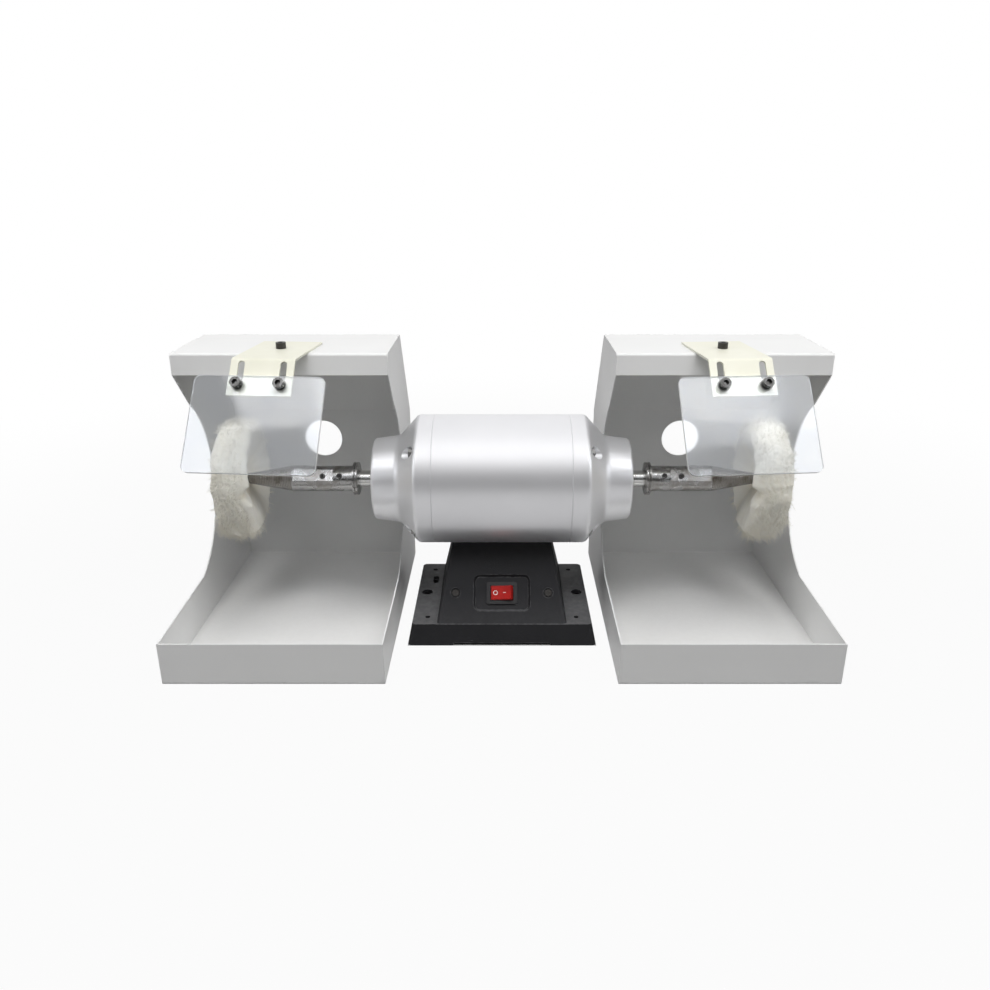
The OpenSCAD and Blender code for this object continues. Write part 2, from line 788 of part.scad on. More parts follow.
// Bushing in the rear panel where the supply lead enters
module cable_inlet() {
    color(black_rubber) on_rear_panel(inlet_x, inlet_s) difference() {
        union() {
            cylinder(h = inlet_lip_t, r = inlet_r + inlet_lip);
            translate([0, 0, -base_wall - inlet_lip_t])
                cylinder(h = base_wall + 2 * inlet_lip_t, r = inlet_r);
            translate([0, 0, -base_wall - inlet_lip_t])
                cylinder(h = inlet_lip_t, r = inlet_r + inlet_lip / 2);
        }
        translate([0, 0, -base_wall - inlet_lip_t - over])
            cylinder(h = base_wall + 2 * (inlet_lip_t + over), r = inlet_bore_r);
    }
}

// ---- Motor housing ----
module motor_barrel() {
    color(silver_paint) difference() {
        turned_on_axis() polygon([[bore_r, -seam_x], [motor_r - seam_chamfer, -seam_x],
            [motor_r, seam_chamfer - seam_x], [motor_r, seam_x - seam_chamfer],
            [motor_r - seam_chamfer, seam_x], [bore_r, seam_x]]);
        for (x = [-saddle_bolt_span / 2, saddle_bolt_span / 2])
            translate([x, 0, axis_h - motor_r - over])
                cylinder(h = over + barrel_wall - thread_spare, r = saddle_bolt_d / 2 + fit_gap);
    }
}

// Outer line of an end bell, from the seam to its end face
function bell_skin() = concat([[motor_r - seam_chamfer, seam_x]],
    rounded_path([[motor_r, seam_x + seam_chamfer], [motor_r, rim_x], [neck_r, neck_x],
        [nose_r, nose_x], [nose_r - face_rim, nose_x]], [rim_fillet, neck_fillet, nose_fillet]));

// Inner line of an end bell, from the end wall of its nose to the end of its spigot
function bell_lining() = concat(
    rounded_path([[nose_r - bell_wall, nose_x - nose_plate_t], [neck_r - bell_wall, neck_x - bell_wall / 2],
        [motor_r - bell_wall, rim_x - bell_wall / 2], [motor_r - bell_wall, seam_x + seam_flange_t]],
        [neck_fillet - bell_wall, rim_fillet]),
    [[bore_r - spigot_t, seam_x + seam_flange_t], [bore_r - spigot_t, seam_x - spigot_len - over]]);

// The right-hand end bell, with its nose along +X
module end_bell() {
    dish_r = nose_r - face_rim;
    boss_r = bearing_r + boss_wall;
    boss_x = web_x - spring_t - bearing_w - boss_lip;
    difference() {
        union() {
            // Cast shell with its spigot
            turned_on_axis() polygon(concat([[0, seam_x]], bell_skin(), [[0, nose_x]]));
            round_bar(seam_x - spigot_len, seam_x + over, bore_r - fit_gap);
        }
        difference() {
            turned_on_axis() polygon(concat([[0, nose_x - nose_plate_t]], bell_lining(),
                [[0, seam_x - spigot_len - over]]));
            // Bearing boss, and the walls round the bolt pockets
            round_bar(boss_x, nose_x, boss_r);
            at_through_bolts() translate([seam_x, 0, 0]) rotate([0, 90, 0])
                cylinder(h = nose_x, r = pocket_d / 2 + pocket_wall);
        }
        // Dished end face, seal seat, shaft hole and bearing seat
        turned_on_axis() polygon([[0, nose_x - face_dish_t], [dish_r - face_dish_t, nose_x - face_dish_t],
            [dish_r, nose_x], [dish_r, nose_x + over], [0, nose_x + over]]);
        round_bar(seal_x, nose_x + over, seal_d / 2 + fit_gap);
        round_bar(boss_x - over, nose_x, shaft_r + seal_step);
        round_bar(boss_x - over, web_x, bearing_r + fit_gap);
        at_through_bolts() {
            translate([pocket_floor_x, 0, 0]) rotate([0, 90, 0]) cylinder(h = nose_x, d = pocket_d);
            rotate([0, 90, 0]) cylinder(h = nose_x, r = through_r + 2 * run_gap);
        }
    }
}

module left_end_bell() { color(silver_paint) on_left() end_bell(); }

module right_end_bell() { color(silver_paint) end_bell(); }

module through_bolts() {
    color(zinc_plate) at_through_bolts() translate([-pocket_floor_x, 0, 0]) rotate([0, -90, 0])
        socket_screw(through_r, 2 * pocket_floor_x + nut_h + bolt_spare, head_r, head_h, hex_key_r);
}

module through_bolt_nuts() {
    color(zinc_plate) at_through_bolts() translate([pocket_floor_x, 0, 0]) rotate([0, 90, 0])
        hex_nut(nut_af, nut_h, through_r + fit_gap);
}

// ---- Stator, rotor and shaft ----
module stator_core() {
    tooth_r = rotor_d / 2 + air_gap;
    color(lamination) on_axis() rotate([0, 90, 0]) linear_extrude(core_len, center = true) difference() {
        circle(r = bore_r - fit_gap);
        circle(r = tooth_r);
        for (i = [0 : slot_count - 1]) rotate([0, 0, (i + 0.5) * 360 / slot_count])
            translate([0, -slot_open / 2]) square([tooth_r + slot_depth, slot_open]);
        // Grooves in the rim for the through bolts
        for (a = bolt_angles) rotate([0, 0, a]) translate([bolt_circle_r, 0]) {
            circle(r = through_r + bolt_gap);
            translate([0, -through_r - bolt_gap])
                square([motor_r - bolt_circle_r, 2 * (through_r + bolt_gap)]);
        }
    }
}

module stator_windings() {
    in_r = rotor_d / 2 + winding_in;
    out_r = bore_r - winding_out;
    head_x = core_len / 2 + winding_len;
    section = rounded_path([[in_r, core_len / 2], [in_r, head_x], [out_r, head_x], [out_r, core_len / 2]],
        [winding_round, winding_round]);
    color(copper) for (side = [0, 1]) mirror([side, 0, 0]) turned_on_axis() polygon(section);
}

// The bearings of both sides, each given by the distance to its outer face
module at_bearings() {
    translate([bearing_out_r - bearing_w / 2, 0, axis_h]) children();
    translate([bearing_w / 2 - bearing_out_l, 0, axis_h]) children();
}

module bearing_ring(r_in, r_out) {
    rotate([0, 90, 0]) rotate_extrude() difference() {
        translate([r_in, -bearing_w / 2]) square([r_out - r_in, bearing_w]);
        translate([ring_r, 0]) circle(r = groove_r);
    }
}

module bearing_outer_rings() {
    color(bright_steel) at_bearings() bearing_ring(ring_r + race_gap, bearing_r);
}

module bearing_inner_rings() {
    color(bright_steel) at_bearings() bearing_ring(shaft_r + fit_gap, ring_r - race_gap);
}

module at_balls() {
    for (i = [0 : ball_count - 1])
        rotate([i * 360 / ball_count, 0, 0]) translate([0, ring_r, 0]) children();
}

module bearing_balls() { color(bright_steel) at_bearings() at_balls() sphere(d = ball_d); }

module bearing_cages() {
    color(copper) at_bearings() difference() {
        rotate([0, 90, 0]) rotate_extrude()
            translate([ring_r - cage_t / 2, -cage_w / 2]) square([cage_t, cage_w]);
        at_balls() rotate([90, 0, 0]) cylinder(h = 3 * cage_t, r = groove_r, center = true);
    }
}

module wave_spring() {
    color(bright_steel)
        round_ring(bearing_out_r + fit_gap, web_x - fit_gap, ring_r + race_gap, bearing_r - slide_gap);
}

module shaft_seals() {
    color(black_rubber) for (side = [0, 1]) mirror([side, 0, 0])
        round_ring(seal_x + fit_gap, nose_x - face_dish_t, shaft_r + soft_gap, seal_d / 2);
}

module shaft() {
    core_shaft_x = core_len / 2 + core_shaft_spare;
    color(bright_steel) {
        round_bar(-shaft_end_x, shaft_end_x, shaft_r);
        round_bar(bearing_w - bearing_out_l, bearing_out_r - bearing_w, shoulder_r);
        round_bar(-core_shaft_x, core_shaft_x, core_shaft_r);
    }
}

module rotor_core() {
    color(lamination) {
        round_ring(-core_len / 2, core_len / 2, core_shaft_r + fit_gap, rotor_d / 2);
        for (side = [0, 1]) mirror([side, 0, 0])
            round_ring(core_len / 2 - fit_gap, core_len / 2 + end_ring_w,
                rotor_d / 2 - end_ring_step - end_ring_t, rotor_d / 2 - end_ring_step);
    }
}

// ---- Spindles and buffs ----
module spindle() {
    tip_r = tip_d / 2;
    difference() {
        turned_on_axis() polygon([[0, spindle_x], [flange_r - flange_chamfer, spindle_x],
            [flange_r, spindle_x + flange_chamfer], [flange_r, spindle_x + flange_t],
            [spindle_r, spindle_x + flange_t + flange_root], [spindle_r, taper_x],
            [tip_r, tip_x - tip_chamfer], [tip_r - tip_chamfer, tip_x], [0, tip_x]]);
        round_bar(spindle_x - over, shaft_end_x + over, shaft_r + fit_gap);
        // Milled flats for a wrench
        for (a = [0, 180]) on_axis() rotate([flat_turn + a, 0, 0])
            translate([taper_x - flat_len, -spindle_d - flat_af / 2, -spindle_d])
                cube([flat_len, spindle_d, 2 * spindle_d]);
        at_set_screws() translate([0, 0, -over]) cylinder(h = spindle_d, r = set_screw_d / 2 + fit_gap);
    }
}

module at_set_screws() {
    for (x = set_screw_x) on_axis() rotate([set_screw_turn, 0, 0])
        translate([spindle_x + flange_t + x, 0, shaft_r]) children();
}

module left_spindle() { color(bright_steel) on_left() spindle(); }

module right_spindle() { color(bright_steel) spindle(); }

// Thin disc in front of the spindle flange that keeps pumice out of the motor
module slinger() {
    rim_end = spindle_x - slinger_space;
    round_ring(rim_end - flange_t, spindle_x, shaft_r + fit_gap, flange_r - slinger_step);
    round_ring(rim_end - flange_t, rim_end, flange_r - slinger_rim, flange_r);
}

module left_slinger() { color(bright_steel) on_left() slinger(); }

module right_slinger() { color(bright_steel) slinger(); }

module set_screws() {
    grub_len = spindle_r - shaft_r - set_screw_sink;
    color(black_paint) for (side = [0, 1]) mirror([side, 0, 0]) at_set_screws() difference() {
        cylinder(h = grub_len, d = set_screw_d);
        translate([0, 0, grub_len / 2]) cylinder(h = grub_len, r = set_screw_d / 4, $fn = 6);
    }
}

// Radius of the spindle's taper at a distance from the motor's middle
function taper_r(x) = max(spindle_r - (x - taper_x) * taper_slope, tip_d / 2);

// Outline of one side of a buff, from its hub to its frayed rim
function buff_cheek(x0, x1) = [for (t = [0 : 0.125 : 1])
    [hub_r + (buff_d / 2 - rim_round - hub_r) * t, x0 + (x1 - x0) * sin(90 * t)]];

// The rim, with a groove between each two of its cloth sections
function buff_rim() = [for (i = [0 : buff_plies - 1]) each [
    [buff_d / 2, buff_x + buff_w * (i + 0.25) / buff_plies],
    [buff_d / 2, buff_x + buff_w * (i + 0.75) / buff_plies],
    if (i < buff_plies - 1) [buff_d / 2 - ply_depth, buff_x + buff_w * (i + 1) / buff_plies]]];

module buff() {
    mid = buff_x + buff_w / 2;
    near = mid - hub_w / 2;
    far = mid + hub_w / 2;
    far_cheek = buff_cheek(far, buff_x + buff_w);
    turned_on_axis() polygon(concat([[taper_r(near) + soft_gap, near]], buff_cheek(near, buff_x), buff_rim(),
        [for (i = [len(far_cheek) - 1 : -1 : 0]) far_cheek[i]], [[taper_r(far) + soft_gap, far]]));
}

module left_buff() { color(cotton) on_left() buff(); }

module right_buff() { color(cotton) buff(); }

// ---- Hoods ----
// Outer line of the folded sheet: tray lip, floor, back, sloping back, roof and roof lip
hood_line = [[0, tray_h], [0, 0], [hood_d, 0], [hood_d, back_h], [roof_back, hood_h], [roof_front, hood_h],
    [roof_front, hood_h - roof_lip]];
hood_path = rounded_path(hood_line, all_same(hood_line, sheet_bend_r));

// Extrudes an outline of [distance from the tray's front, height] from x0 over a width
module across_hood(x0, w) {
    translate([x0, hood_y, 0]) rotate([90, 0, 90]) linear_extrude(w) children();
}

module hood_wrap() {
    difference() {
        across_hood(hood_x + hood_t, hood_w - 2 * hood_t) polygon(sheet_section(hood_path, hood_t));
        translate([hood_mid_x, 0, port_h]) rotate([-90, 0, 0]) cylinder(h = hood_d, d = port_d);
        translate([hood_mid_x, bracket_screw_y, hood_h - hood_t - over])
            cylinder(h = hood_t + 2 * over, r = screw_r + bolt_gap);
    }
}

// Side plate with the C cut that the spindle passes through
module hood_side(x0) {
    across_hood(x0, hood_t)
        polygon(concat(hood_path, arc([cut_y, cut_z], cut_r, cut_high_a, cut_low_a, cut_steps)));
}

module inner_side() { hood_side(hood_x); }

module outer_side() { hood_side(hood_x + hood_w - hood_t); }

module left_hood_wrap() { color(hood_paint) on_left() hood_wrap(); }

module right_hood_wrap() { color(hood_paint) hood_wrap(); }

module left_hood_inner_side() { color(hood_paint) on_left() inner_side(); }

module right_hood_inner_side() { color(hood_paint) inner_side(); }

module left_hood_outer_side() { color(hood_paint) on_left() outer_side(); }

module right_hood_outer_side() { color(hood_paint) outer_side(); }

// ---- Brackets ----
module bracket() {
    drop = [sin(slope), -cos(slope)];
    path = [[-tongue_back, 0], [tongue_front, 0], [tongue_front, 0] + flange_len * drop];
    difference() {
        on_roof_screw() rotate([90, 0, -90]) linear_extrude(bracket_w, center = true)
            polygon(sheet_section(rounded_path(path, [bracket_bend_r]), bracket_t));
        on_roof_screw() translate([0, 0, -over]) cylinder(h = bracket_t + 2 * over, r = screw_r + run_gap);
        for (x = [-slot_span / 2, slot_span / 2]) on_flange() translate([x, 0, -over]) {
            for (y = [-slot_top - slot_w / 2, slot_w / 2 - slot_top - slot_len]) translate([0, y, 0])
                cylinder(h = bracket_t + 2 * over, d = slot_w);
            translate([-slot_w / 2, slot_w / 2 - slot_top - slot_len, 0])
                cube([slot_w, slot_len - slot_w, bracket_t + 2 * over]);
        }
    }
}

module left_bracket() { color(cream_paint) on_left() bracket(); }

module right_bracket() { color(cream_paint) bracket(); }

module bracket_screws() {
    shank_len = bracket_t + 2 * slide_gap + hood_t + hex_h + bolt_spare;
    color(zinc_plate) for (side = [0, 1]) mirror([side, 0, 0]) on_roof_screw()
        translate([0, 0, bracket_t + slide_gap])
            socket_screw(screw_r, shank_len, socket_head_r, socket_head_h, socket_key_r);
}

module bracket_nuts() {
    color(zinc_plate) for (side = [0, 1]) mirror([side, 0, 0])
        translate([hood_mid_x, bracket_screw_y, hood_h - hood_t - hex_h])
            hex_nut(hex_af, hex_h, screw_r + fit_gap);
}

// ---- Shields ----
module shield() {
    difference() {
        on_flange() translate([0, -shield_top_s - shield_h / 2, shield_z]) linear_extrude(shield_t)
            polygon(rounded_rectangle(shield_w, shield_h, shield_r));
        at_shield_screws() translate([0, 0, shield_z - over])
            cylinder(h = shield_t + 2 * over, r = screw_r + run_gap);
    }
}

module shield_screws() {
    shank_len = washer_t + shield_t + shield_z + slide_gap + hex_h + bolt_spare;
    at_shield_screws() translate([0, 0, shield_z + shield_t + washer_t])
        socket_screw(screw_r, shank_len, socket_head_r, socket_head_h, socket_key_r);
}

module shield_washers() {
    at_shield_screws() translate([0, 0, shield_z + shield_t]) difference() {
        cylinder(h = washer_t, r = washer_r);
        translate([0, 0, -over]) cylinder(h = washer_t + 2 * over, r = screw_r + run_gap);
    }
}

module shield_nuts() {
    at_shield_screws() translate([0, 0, -slide_gap - hex_h]) hex_nut(hex_af, hex_h, screw_r + fit_gap);
}

module left_shield() { color(clear_plastic) on_left() shield(); }

module right_shield() { color(clear_plastic) shield(); }

module left_shield_screws() { color(zinc_plate) on_left() shield_screws(); }

module right_shield_screws() { color(zinc_plate) shield_screws(); }

module left_shield_washers() { color(zinc_plate) on_left() shield_washers(); }

module right_shield_washers() { color(zinc_plate) shield_washers(); }

module left_shield_nuts() { color(zinc_plate) on_left() shield_nuts(); }

module right_shield_nuts() { color(zinc_plate) shield_nuts(); }

base_casting();
base_cover();
base_cover_screws();
saddle_bolts();
panel_screws();
switch_housing();
switch_rocker();
switch_terminals();
capacitor_carrier();
capacitor();
capacitor_strap();
terminal_block();
cable_inlet();
motor_barrel();
left_end_bell();
right_end_bell();
through_bolts();
through_bolt_nuts();
stator_core();
stator_windings();
bearing_outer_rings();
bearing_inner_rings();
bearing_balls();
bearing_cages();
wave_spring();
shaft_seals();
shaft();
rotor_core();
left_spindle();
right_spindle();
left_slinger();
right_slinger();
set_screws();
left_buff();
right_buff();
left_hood_wrap();
right_hood_wrap();
left_hood_inner_side();
right_hood_inner_side();
left_hood_outer_side();
right_hood_outer_side();
bracket_screws();
bracket_nuts();
left_bracket();
right_bracket();
left_shield();
right_shield();
left_shield_screws();
right_shield_screws();
left_shield_washers();
right_shield_washers();
left_shield_nuts();
right_shield_nuts();
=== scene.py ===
# The look of a dental polishing lathe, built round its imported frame. Lengths are in metres.
import json
import math
import random

import bpy
from mathutils import Matrix, Vector, noise

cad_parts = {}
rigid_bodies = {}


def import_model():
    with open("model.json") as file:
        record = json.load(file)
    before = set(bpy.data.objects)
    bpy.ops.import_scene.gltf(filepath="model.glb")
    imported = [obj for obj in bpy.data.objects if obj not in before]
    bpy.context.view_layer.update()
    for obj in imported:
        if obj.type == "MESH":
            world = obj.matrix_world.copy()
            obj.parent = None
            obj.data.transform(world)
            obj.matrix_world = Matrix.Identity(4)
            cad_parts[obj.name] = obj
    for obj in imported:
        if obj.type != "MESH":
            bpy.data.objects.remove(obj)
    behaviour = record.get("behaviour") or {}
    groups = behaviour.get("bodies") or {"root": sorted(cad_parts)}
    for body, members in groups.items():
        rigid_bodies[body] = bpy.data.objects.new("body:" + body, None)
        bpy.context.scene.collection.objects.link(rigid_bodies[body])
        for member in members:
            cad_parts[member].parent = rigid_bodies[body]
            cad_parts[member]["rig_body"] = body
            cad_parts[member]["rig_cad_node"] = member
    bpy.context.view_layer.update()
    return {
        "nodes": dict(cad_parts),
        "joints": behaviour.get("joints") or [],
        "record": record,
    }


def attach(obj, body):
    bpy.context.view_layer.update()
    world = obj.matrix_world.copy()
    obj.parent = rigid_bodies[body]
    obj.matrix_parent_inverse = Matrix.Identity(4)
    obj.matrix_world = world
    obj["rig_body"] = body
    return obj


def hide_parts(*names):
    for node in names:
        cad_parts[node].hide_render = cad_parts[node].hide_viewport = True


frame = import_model()
nodes = frame["nodes"]
slotOfNode = {part["node"]: part["material_slot"] for part in frame["record"]["subparts"]}
bodyOfNode = {name: body for body, names in frame["record"]["behaviour"]["bodies"].items()
              for name in names}
jointNamed = {joint["name"]: joint for joint in frame["joints"]}
mm = 0.001

# ---- camera ----
cameraLook = {
    "place": (0, -0.8577, 0.4613),
    "pitchDown": 20.6,       # degrees
    "focalPixels": 847.3,    # focal length in pixels of the square picture
    "middlePixel": 501.9,    # column of the picture's optical middle
    "imagePixels": 990,
    "sensorWidth": 36,       # millimetres
    "farthest": 50,          # metres that the camera sees
}


def makeCamera():
    turn = (math.radians(90 - cameraLook["pitchDown"]), 0, 0)
    bpy.ops.object.camera_add(location=cameraLook["place"], rotation=turn)
    camera = bpy.context.object
    camera.name = "photoCamera"
    camera.data.sensor_width = cameraLook["sensorWidth"]
    camera.data.lens = cameraLook["focalPixels"] / cameraLook["imagePixels"] * cameraLook["sensorWidth"]
    camera.data.shift_x = 0.5 - cameraLook["middlePixel"] / cameraLook["imagePixels"]
    camera.data.clip_end = cameraLook["farthest"]
    bpy.context.scene.camera = camera


makeCamera()
print("camera made")


# ---- small tools ----
def deselectAll():
    bpy.ops.object.select_all(action="DESELECT")


def makeActive(piece):
    deselectAll()
    piece.select_set(True)
    bpy.context.view_layer.objects.active = piece


def applyPlace(piece):
    # the finished piece's object sits at the origin, its place is in its mesh
    makeActive(piece)
    bpy.ops.object.transform_apply(location=True, rotation=True, scale=True)


def applyModifiers(piece):
    makeActive(piece)
    for modifier in list(piece.modifiers):
        bpy.ops.object.modifier_apply(modifier=modifier.name)


def joinPieces(pieces, name):
    deselectAll()
    for piece in pieces:
        piece.select_set(True)
    bpy.context.view_layer.objects.active = pieces[0]
    bpy.ops.object.join()
    joined = bpy.context.object
    joined.name = name
    joined.data.name = name
    return joined


def finishPiece(piece, body, slotName, *replacedNodes):
    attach(piece, body)
    if replacedNodes:
        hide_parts(*replacedNodes)
    return piece


def makeMeshPiece(name, verts, edges, faces):
    mesh = bpy.data.meshes.new(name)
    mesh.from_pydata(verts, edges, faces)
    piece = bpy.data.objects.new(name, mesh)
    bpy.context.scene.collection.objects.link(piece)
    return piece


# ---- shader tools ----
def shaderOf(material):
    return material.node_tree.nodes["Principled BSDF"]


def newMaterial(name, **values):
    material = bpy.data.materials.new(name)
    material.use_nodes = True
    for key, value in values.items():
        shaderOf(material).inputs[key.replace("_", " ")].default_value = value
    return material


def newGroup(name, inputs, outputs):
    group = bpy.data.node_groups.new(name, "ShaderNodeTree")
    for label, value in inputs.items():
        socket = group.interface.new_socket(name=label, in_out="INPUT", socket_type="NodeSocketFloat")
        socket.default_value = value
    for label in outputs:
        group.interface.new_socket(name=label, in_out="OUTPUT", socket_type="NodeSocketFloat")
    return group, group.nodes.new("NodeGroupInput"), group.nodes.new("NodeGroupOutput")


def addNode(tree, kind, **settings):
    node = tree.nodes.new("ShaderNode" + kind)
    for key, value in settings.items():
        setattr(node, key, value)
    return node


def feed(tree, socket, value):
    # the output of another node is linked to the socket, anything else is the socket's own value
    if isinstance(value, bpy.types.NodeSocket):
        tree.links.new(value, socket)
    else:
        socket.default_value = value


def feedShader(material, label, value):
    feed(material.node_tree, shaderOf(material).inputs[label], value)


def addMath(tree, operation, first, second=None, third=None, clamp=False):
    node = addNode(tree, "Math", operation=operation, use_clamp=clamp)
    for socket, value in zip(node.inputs, (first, second, third)):
        if value is not None:
            feed(tree, socket, value)
    return node.outputs[0]


def addNoise(tree, place, scale, detail, roughness=0.5):
    node = addNode(tree, "TexNoise")
    for label, value in (("Vector", place), ("Scale", scale), ("Detail", detail), ("Roughness", roughness)):
        feed(tree, node.inputs[label], value)
    return node.outputs["Fac"]


def addRange(tree, value, given, wanted=(0.0, 1.0), **settings):
    # maps a value from one pair of limits to another
    node = addNode(tree, "MapRange", **settings)
    feed(tree, node.inputs["Value"], value)
    for label, limit in zip(("From Min", "From Max", "To Min", "To Max"), (*given, *wanted)):
        feed(tree, node.inputs[label], limit)
    return node.outputs["Result"]


def sharpen(tree, value, gain, offset):
    # a pattern with its contrast changed, cut off at 0 and 1
    return addMath(tree, "MULTIPLY_ADD", value, gain, offset, clamp=True)


def useGroup(material, group, **values):
    node = addNode(material.node_tree, "Group", node_tree=group)
    for key, value in values.items():
        node.inputs[key.replace("_", " ")].default_value = value
    return node


def mixColours(material, factor, first, second):
    tree = material.node_tree
    mix = addNode(tree, "Mix", data_type="RGBA")
    for label, value in (("Factor", factor), ("A", first), ("B", second)):
        feed(tree, mix.inputs[label], value)
    return mix.outputs["Result"]


def feedRoughness(material, pattern, low, high):
    # the roughness goes from low to high as the pattern goes from 0 to 1
    feedShader(material, "Roughness", addMath(material.node_tree, "MULTIPLY_ADD", pattern, high - low, low))


def bumpFrom(material, height, distance):
    bump = addNode(material.node_tree, "Bump")
    bump.inputs["Distance"].default_value = distance
    material.node_tree.links.new(height, bump.inputs["Height"])
    feedShader(material, "Normal", bump.outputs["Normal"])


# ---- shared shader groups ----
def makeGrainGroup():
    # even grain such as orange peel, sand cast skin or textured paint, with a slow variation beside it
    group, given, out = newGroup(
        "surfaceGrain", {"Grain Scale": 900.0, "Patch Scale": 12.0, "Softness": 0.5}, ["Height", "Patches"])
    place = addNode(group, "TexCoord").outputs["Object"]
    fine = addNoise(group, place, given.outputs["Grain Scale"], detail=3,
                    roughness=given.outputs["Softness"])
    slow = addNoise(group, place, given.outputs["Patch Scale"], detail=5)
    group.links.new(fine, out.inputs["Height"])
    group.links.new(addRange(group, slow, (0.3, 0.7)), out.inputs["Patches"])
    return group


def makeEdgeGroup():
    # 1 on edges, 0 on flat faces, broken up by a noise; the pale paints use it for a painted highlight, the
    # rocker for painted shade, the black casting for lighter edges and the silver paint for slightly darker
    # ones
    group, given, out = newGroup(
        "edgeTintAndPaintedLight", {"Radius": 1.2 * mm, "Break Scale": 220.0, "Amount": 0.6}, ["Edge"])
    bevel = addNode(group, "Bevel", samples=4)
    group.links.new(given.outputs["Radius"], bevel.inputs["Radius"])
    dot = addNode(group, "VectorMath", operation="DOT_PRODUCT")
    group.links.new(bevel.outputs["Normal"], dot.inputs[0])
    group.links.new(addNode(group, "NewGeometry").outputs["Normal"], dot.inputs[1])
    sharp = sharpen(group, dot.outputs["Value"], gain=-7.0, offset=7.0)
    place = addNode(group, "TexCoord").outputs["Object"]
    broken = addNoise(group, place, given.outputs["Break Scale"], detail=4)
    chip = sharpen(group, broken, gain=3.0, offset=-1.0)
    worn = addMath(group, "MULTIPLY", sharp, chip)
    shown = addMath(group, "MULTIPLY", worn, given.outputs["Amount"], clamp=True)
    group.links.new(shown, out.inputs["Edge"])
    return group


def makeDustGroup():
    # fine settled dust: most on what faces up and lies low
    group, given, out = newGroup(
        "settledDust", {"Top Height": 50 * mm, "Amount": 0.3, "Speck Scale": 160.0}, ["Dust"])
    place = addNode(group, "TexCoord").outputs["Object"]
    split = addNode(group, "SeparateXYZ")
    group.links.new(place, split.inputs[0])
    low = addRange(group, split.outputs["Z"], (0.0, given.outputs["Top Height"]), (1.0, 0.0))
    speck = addNoise(group, place, given.outputs["Speck Scale"], detail=6, roughness=0.7)
    spots = sharpen(group, speck, gain=0.9, offset=0.2)
    facing = addNode(group, "SeparateXYZ")
    group.links.new(addNode(group, "NewGeometry").outputs["Normal"], facing.inputs[0])
    upward = addMath(group, "POWER", addMath(group, "MAXIMUM", facing.outputs["Z"], 0.0), 3.0)
    dust = addMath(group, "MULTIPLY", addMath(group, "MULTIPLY", low, upward), spots)
    shown = addMath(group, "MULTIPLY", dust, given.outputs["Amount"], clamp=True)
    group.links.new(shown, out.inputs["Dust"])
    return group


def makeTurnedGroup():
    # fine rings of a lathe tool round the motor's X axis, and brown stains along it
    group, given, out = newGroup(
        "turnedMarks", {"Ring Scale": 900.0, "Stain Scale": 70.0, "Stain Amount": 0.6}, ["Height", "Stain"])
    place = addNode(group, "TexCoord").outputs["Object"]
    rings = addNode(group, "TexWave", wave_type="BANDS", bands_direction="X")
    for label, value in (("Vector", place), ("Scale", given.outputs["Ring Scale"]), ("Distortion", 0.2),
                         ("Detail Scale", 2.0)):
        feed(group, rings.inputs[label], value)
    group.links.new(rings.outputs["Fac"], out.inputs["Height"])
    stain = addNoise(group, place, given.outputs["Stain Scale"], detail=5, roughness=0.65)
    spots = sharpen(group, stain, gain=5.0, offset=-2.3)
    shown = addMath(group, "MULTIPLY", spots, given.outputs["Stain Amount"])
    group.links.new(shown, out.inputs["Stain"])
    return group


grainGroup = makeGrainGroup()
edgeGroup = makeEdgeGroup()
dustGroup = makeDustGroup()
turnedGroup = makeTurnedGroup()


# ---- materials ----
def paintMaterial(look):
    # paint with a grain, slow patches of tone, a tint on its edges, which is a painted highlight on the pale
    # paints and painted shade on the rocker, and a little dust
    material = newMaterial(look["name"], Metallic=look.get("metallic", 0.0),
                           Specular_IOR_Level=look.get("specular", 0.5))
    grain = useGroup(material, grainGroup, Grain_Scale=look["grainScale"], Patch_Scale=look["patchScale"])
    colour = mixColours(material, grain.outputs["Patches"], look["colour"], look["patchColour"])
    if "edgeColour" in look:
        edge = useGroup(material, edgeGroup, Radius=look["edgeRadius"], Amount=look["edgeAmount"])
        colour = mixColours(material, edge.outputs["Edge"], colour, look["edgeColour"])
    if "dustColour" in look:
        dust = useGroup(material, dustGroup, Top_Height=look["dustHeight"], Amount=look["dustAmount"])
        colour = mixColours(material, dust.outputs["Dust"], colour, look["dustColour"])
    feedShader(material, "Base Color", colour)
    feedRoughness(material, grain.outputs["Patches"], look["roughness"], look["patchRoughness"])
    bumpFrom(material, grain.outputs["Height"], look["grainDepth"])
    return material


def steelMaterial(look):
    # ground or turned steel with fine rings and brown stains
    material = newMaterial(look["name"], Metallic=1.0)
    marks = useGroup(material, turnedGroup, Ring_Scale=look["ringScale"], Stain_Scale=look["stainScale"],
                     Stain_Amount=look["stainAmount"])
    colour = mixColours(material, marks.outputs["Stain"], look["colour"], look["stainColour"])
    feedShader(material, "Base Color", colour)
    feedRoughness(material, marks.outputs["Stain"], look["roughness"], look["stainRoughness"])
    bumpFrom(material, marks.outputs["Height"], look["ringDepth"])
    return material


def acrylicMaterial():
    # clear sheet: fine wiping scratches in its gloss, seen as a haze
    look = {"colour": (0.96, 0.98, 1.0, 1), "hazeColour": (0.90, 0.93, 0.98, 1), "roughness": 0.02,
            "hazeRoughness": 0.10, "refraction": 1.49, "clear": 0.93, "grainScale": 60.0, "patchScale": 25.0}
    material = newMaterial("clearAcrylic", Transmission_Weight=look["clear"], IOR=look["refraction"])
    grain = useGroup(material, grainGroup, Grain_Scale=look["grainScale"], Patch_Scale=look["patchScale"])
    colour = mixColours(material, grain.outputs["Patches"], look["colour"], look["hazeColour"])
    feedShader(material, "Base Color", colour)
    feedRoughness(material, grain.outputs["Patches"], look["roughness"], look["hazeRoughness"])
    return material


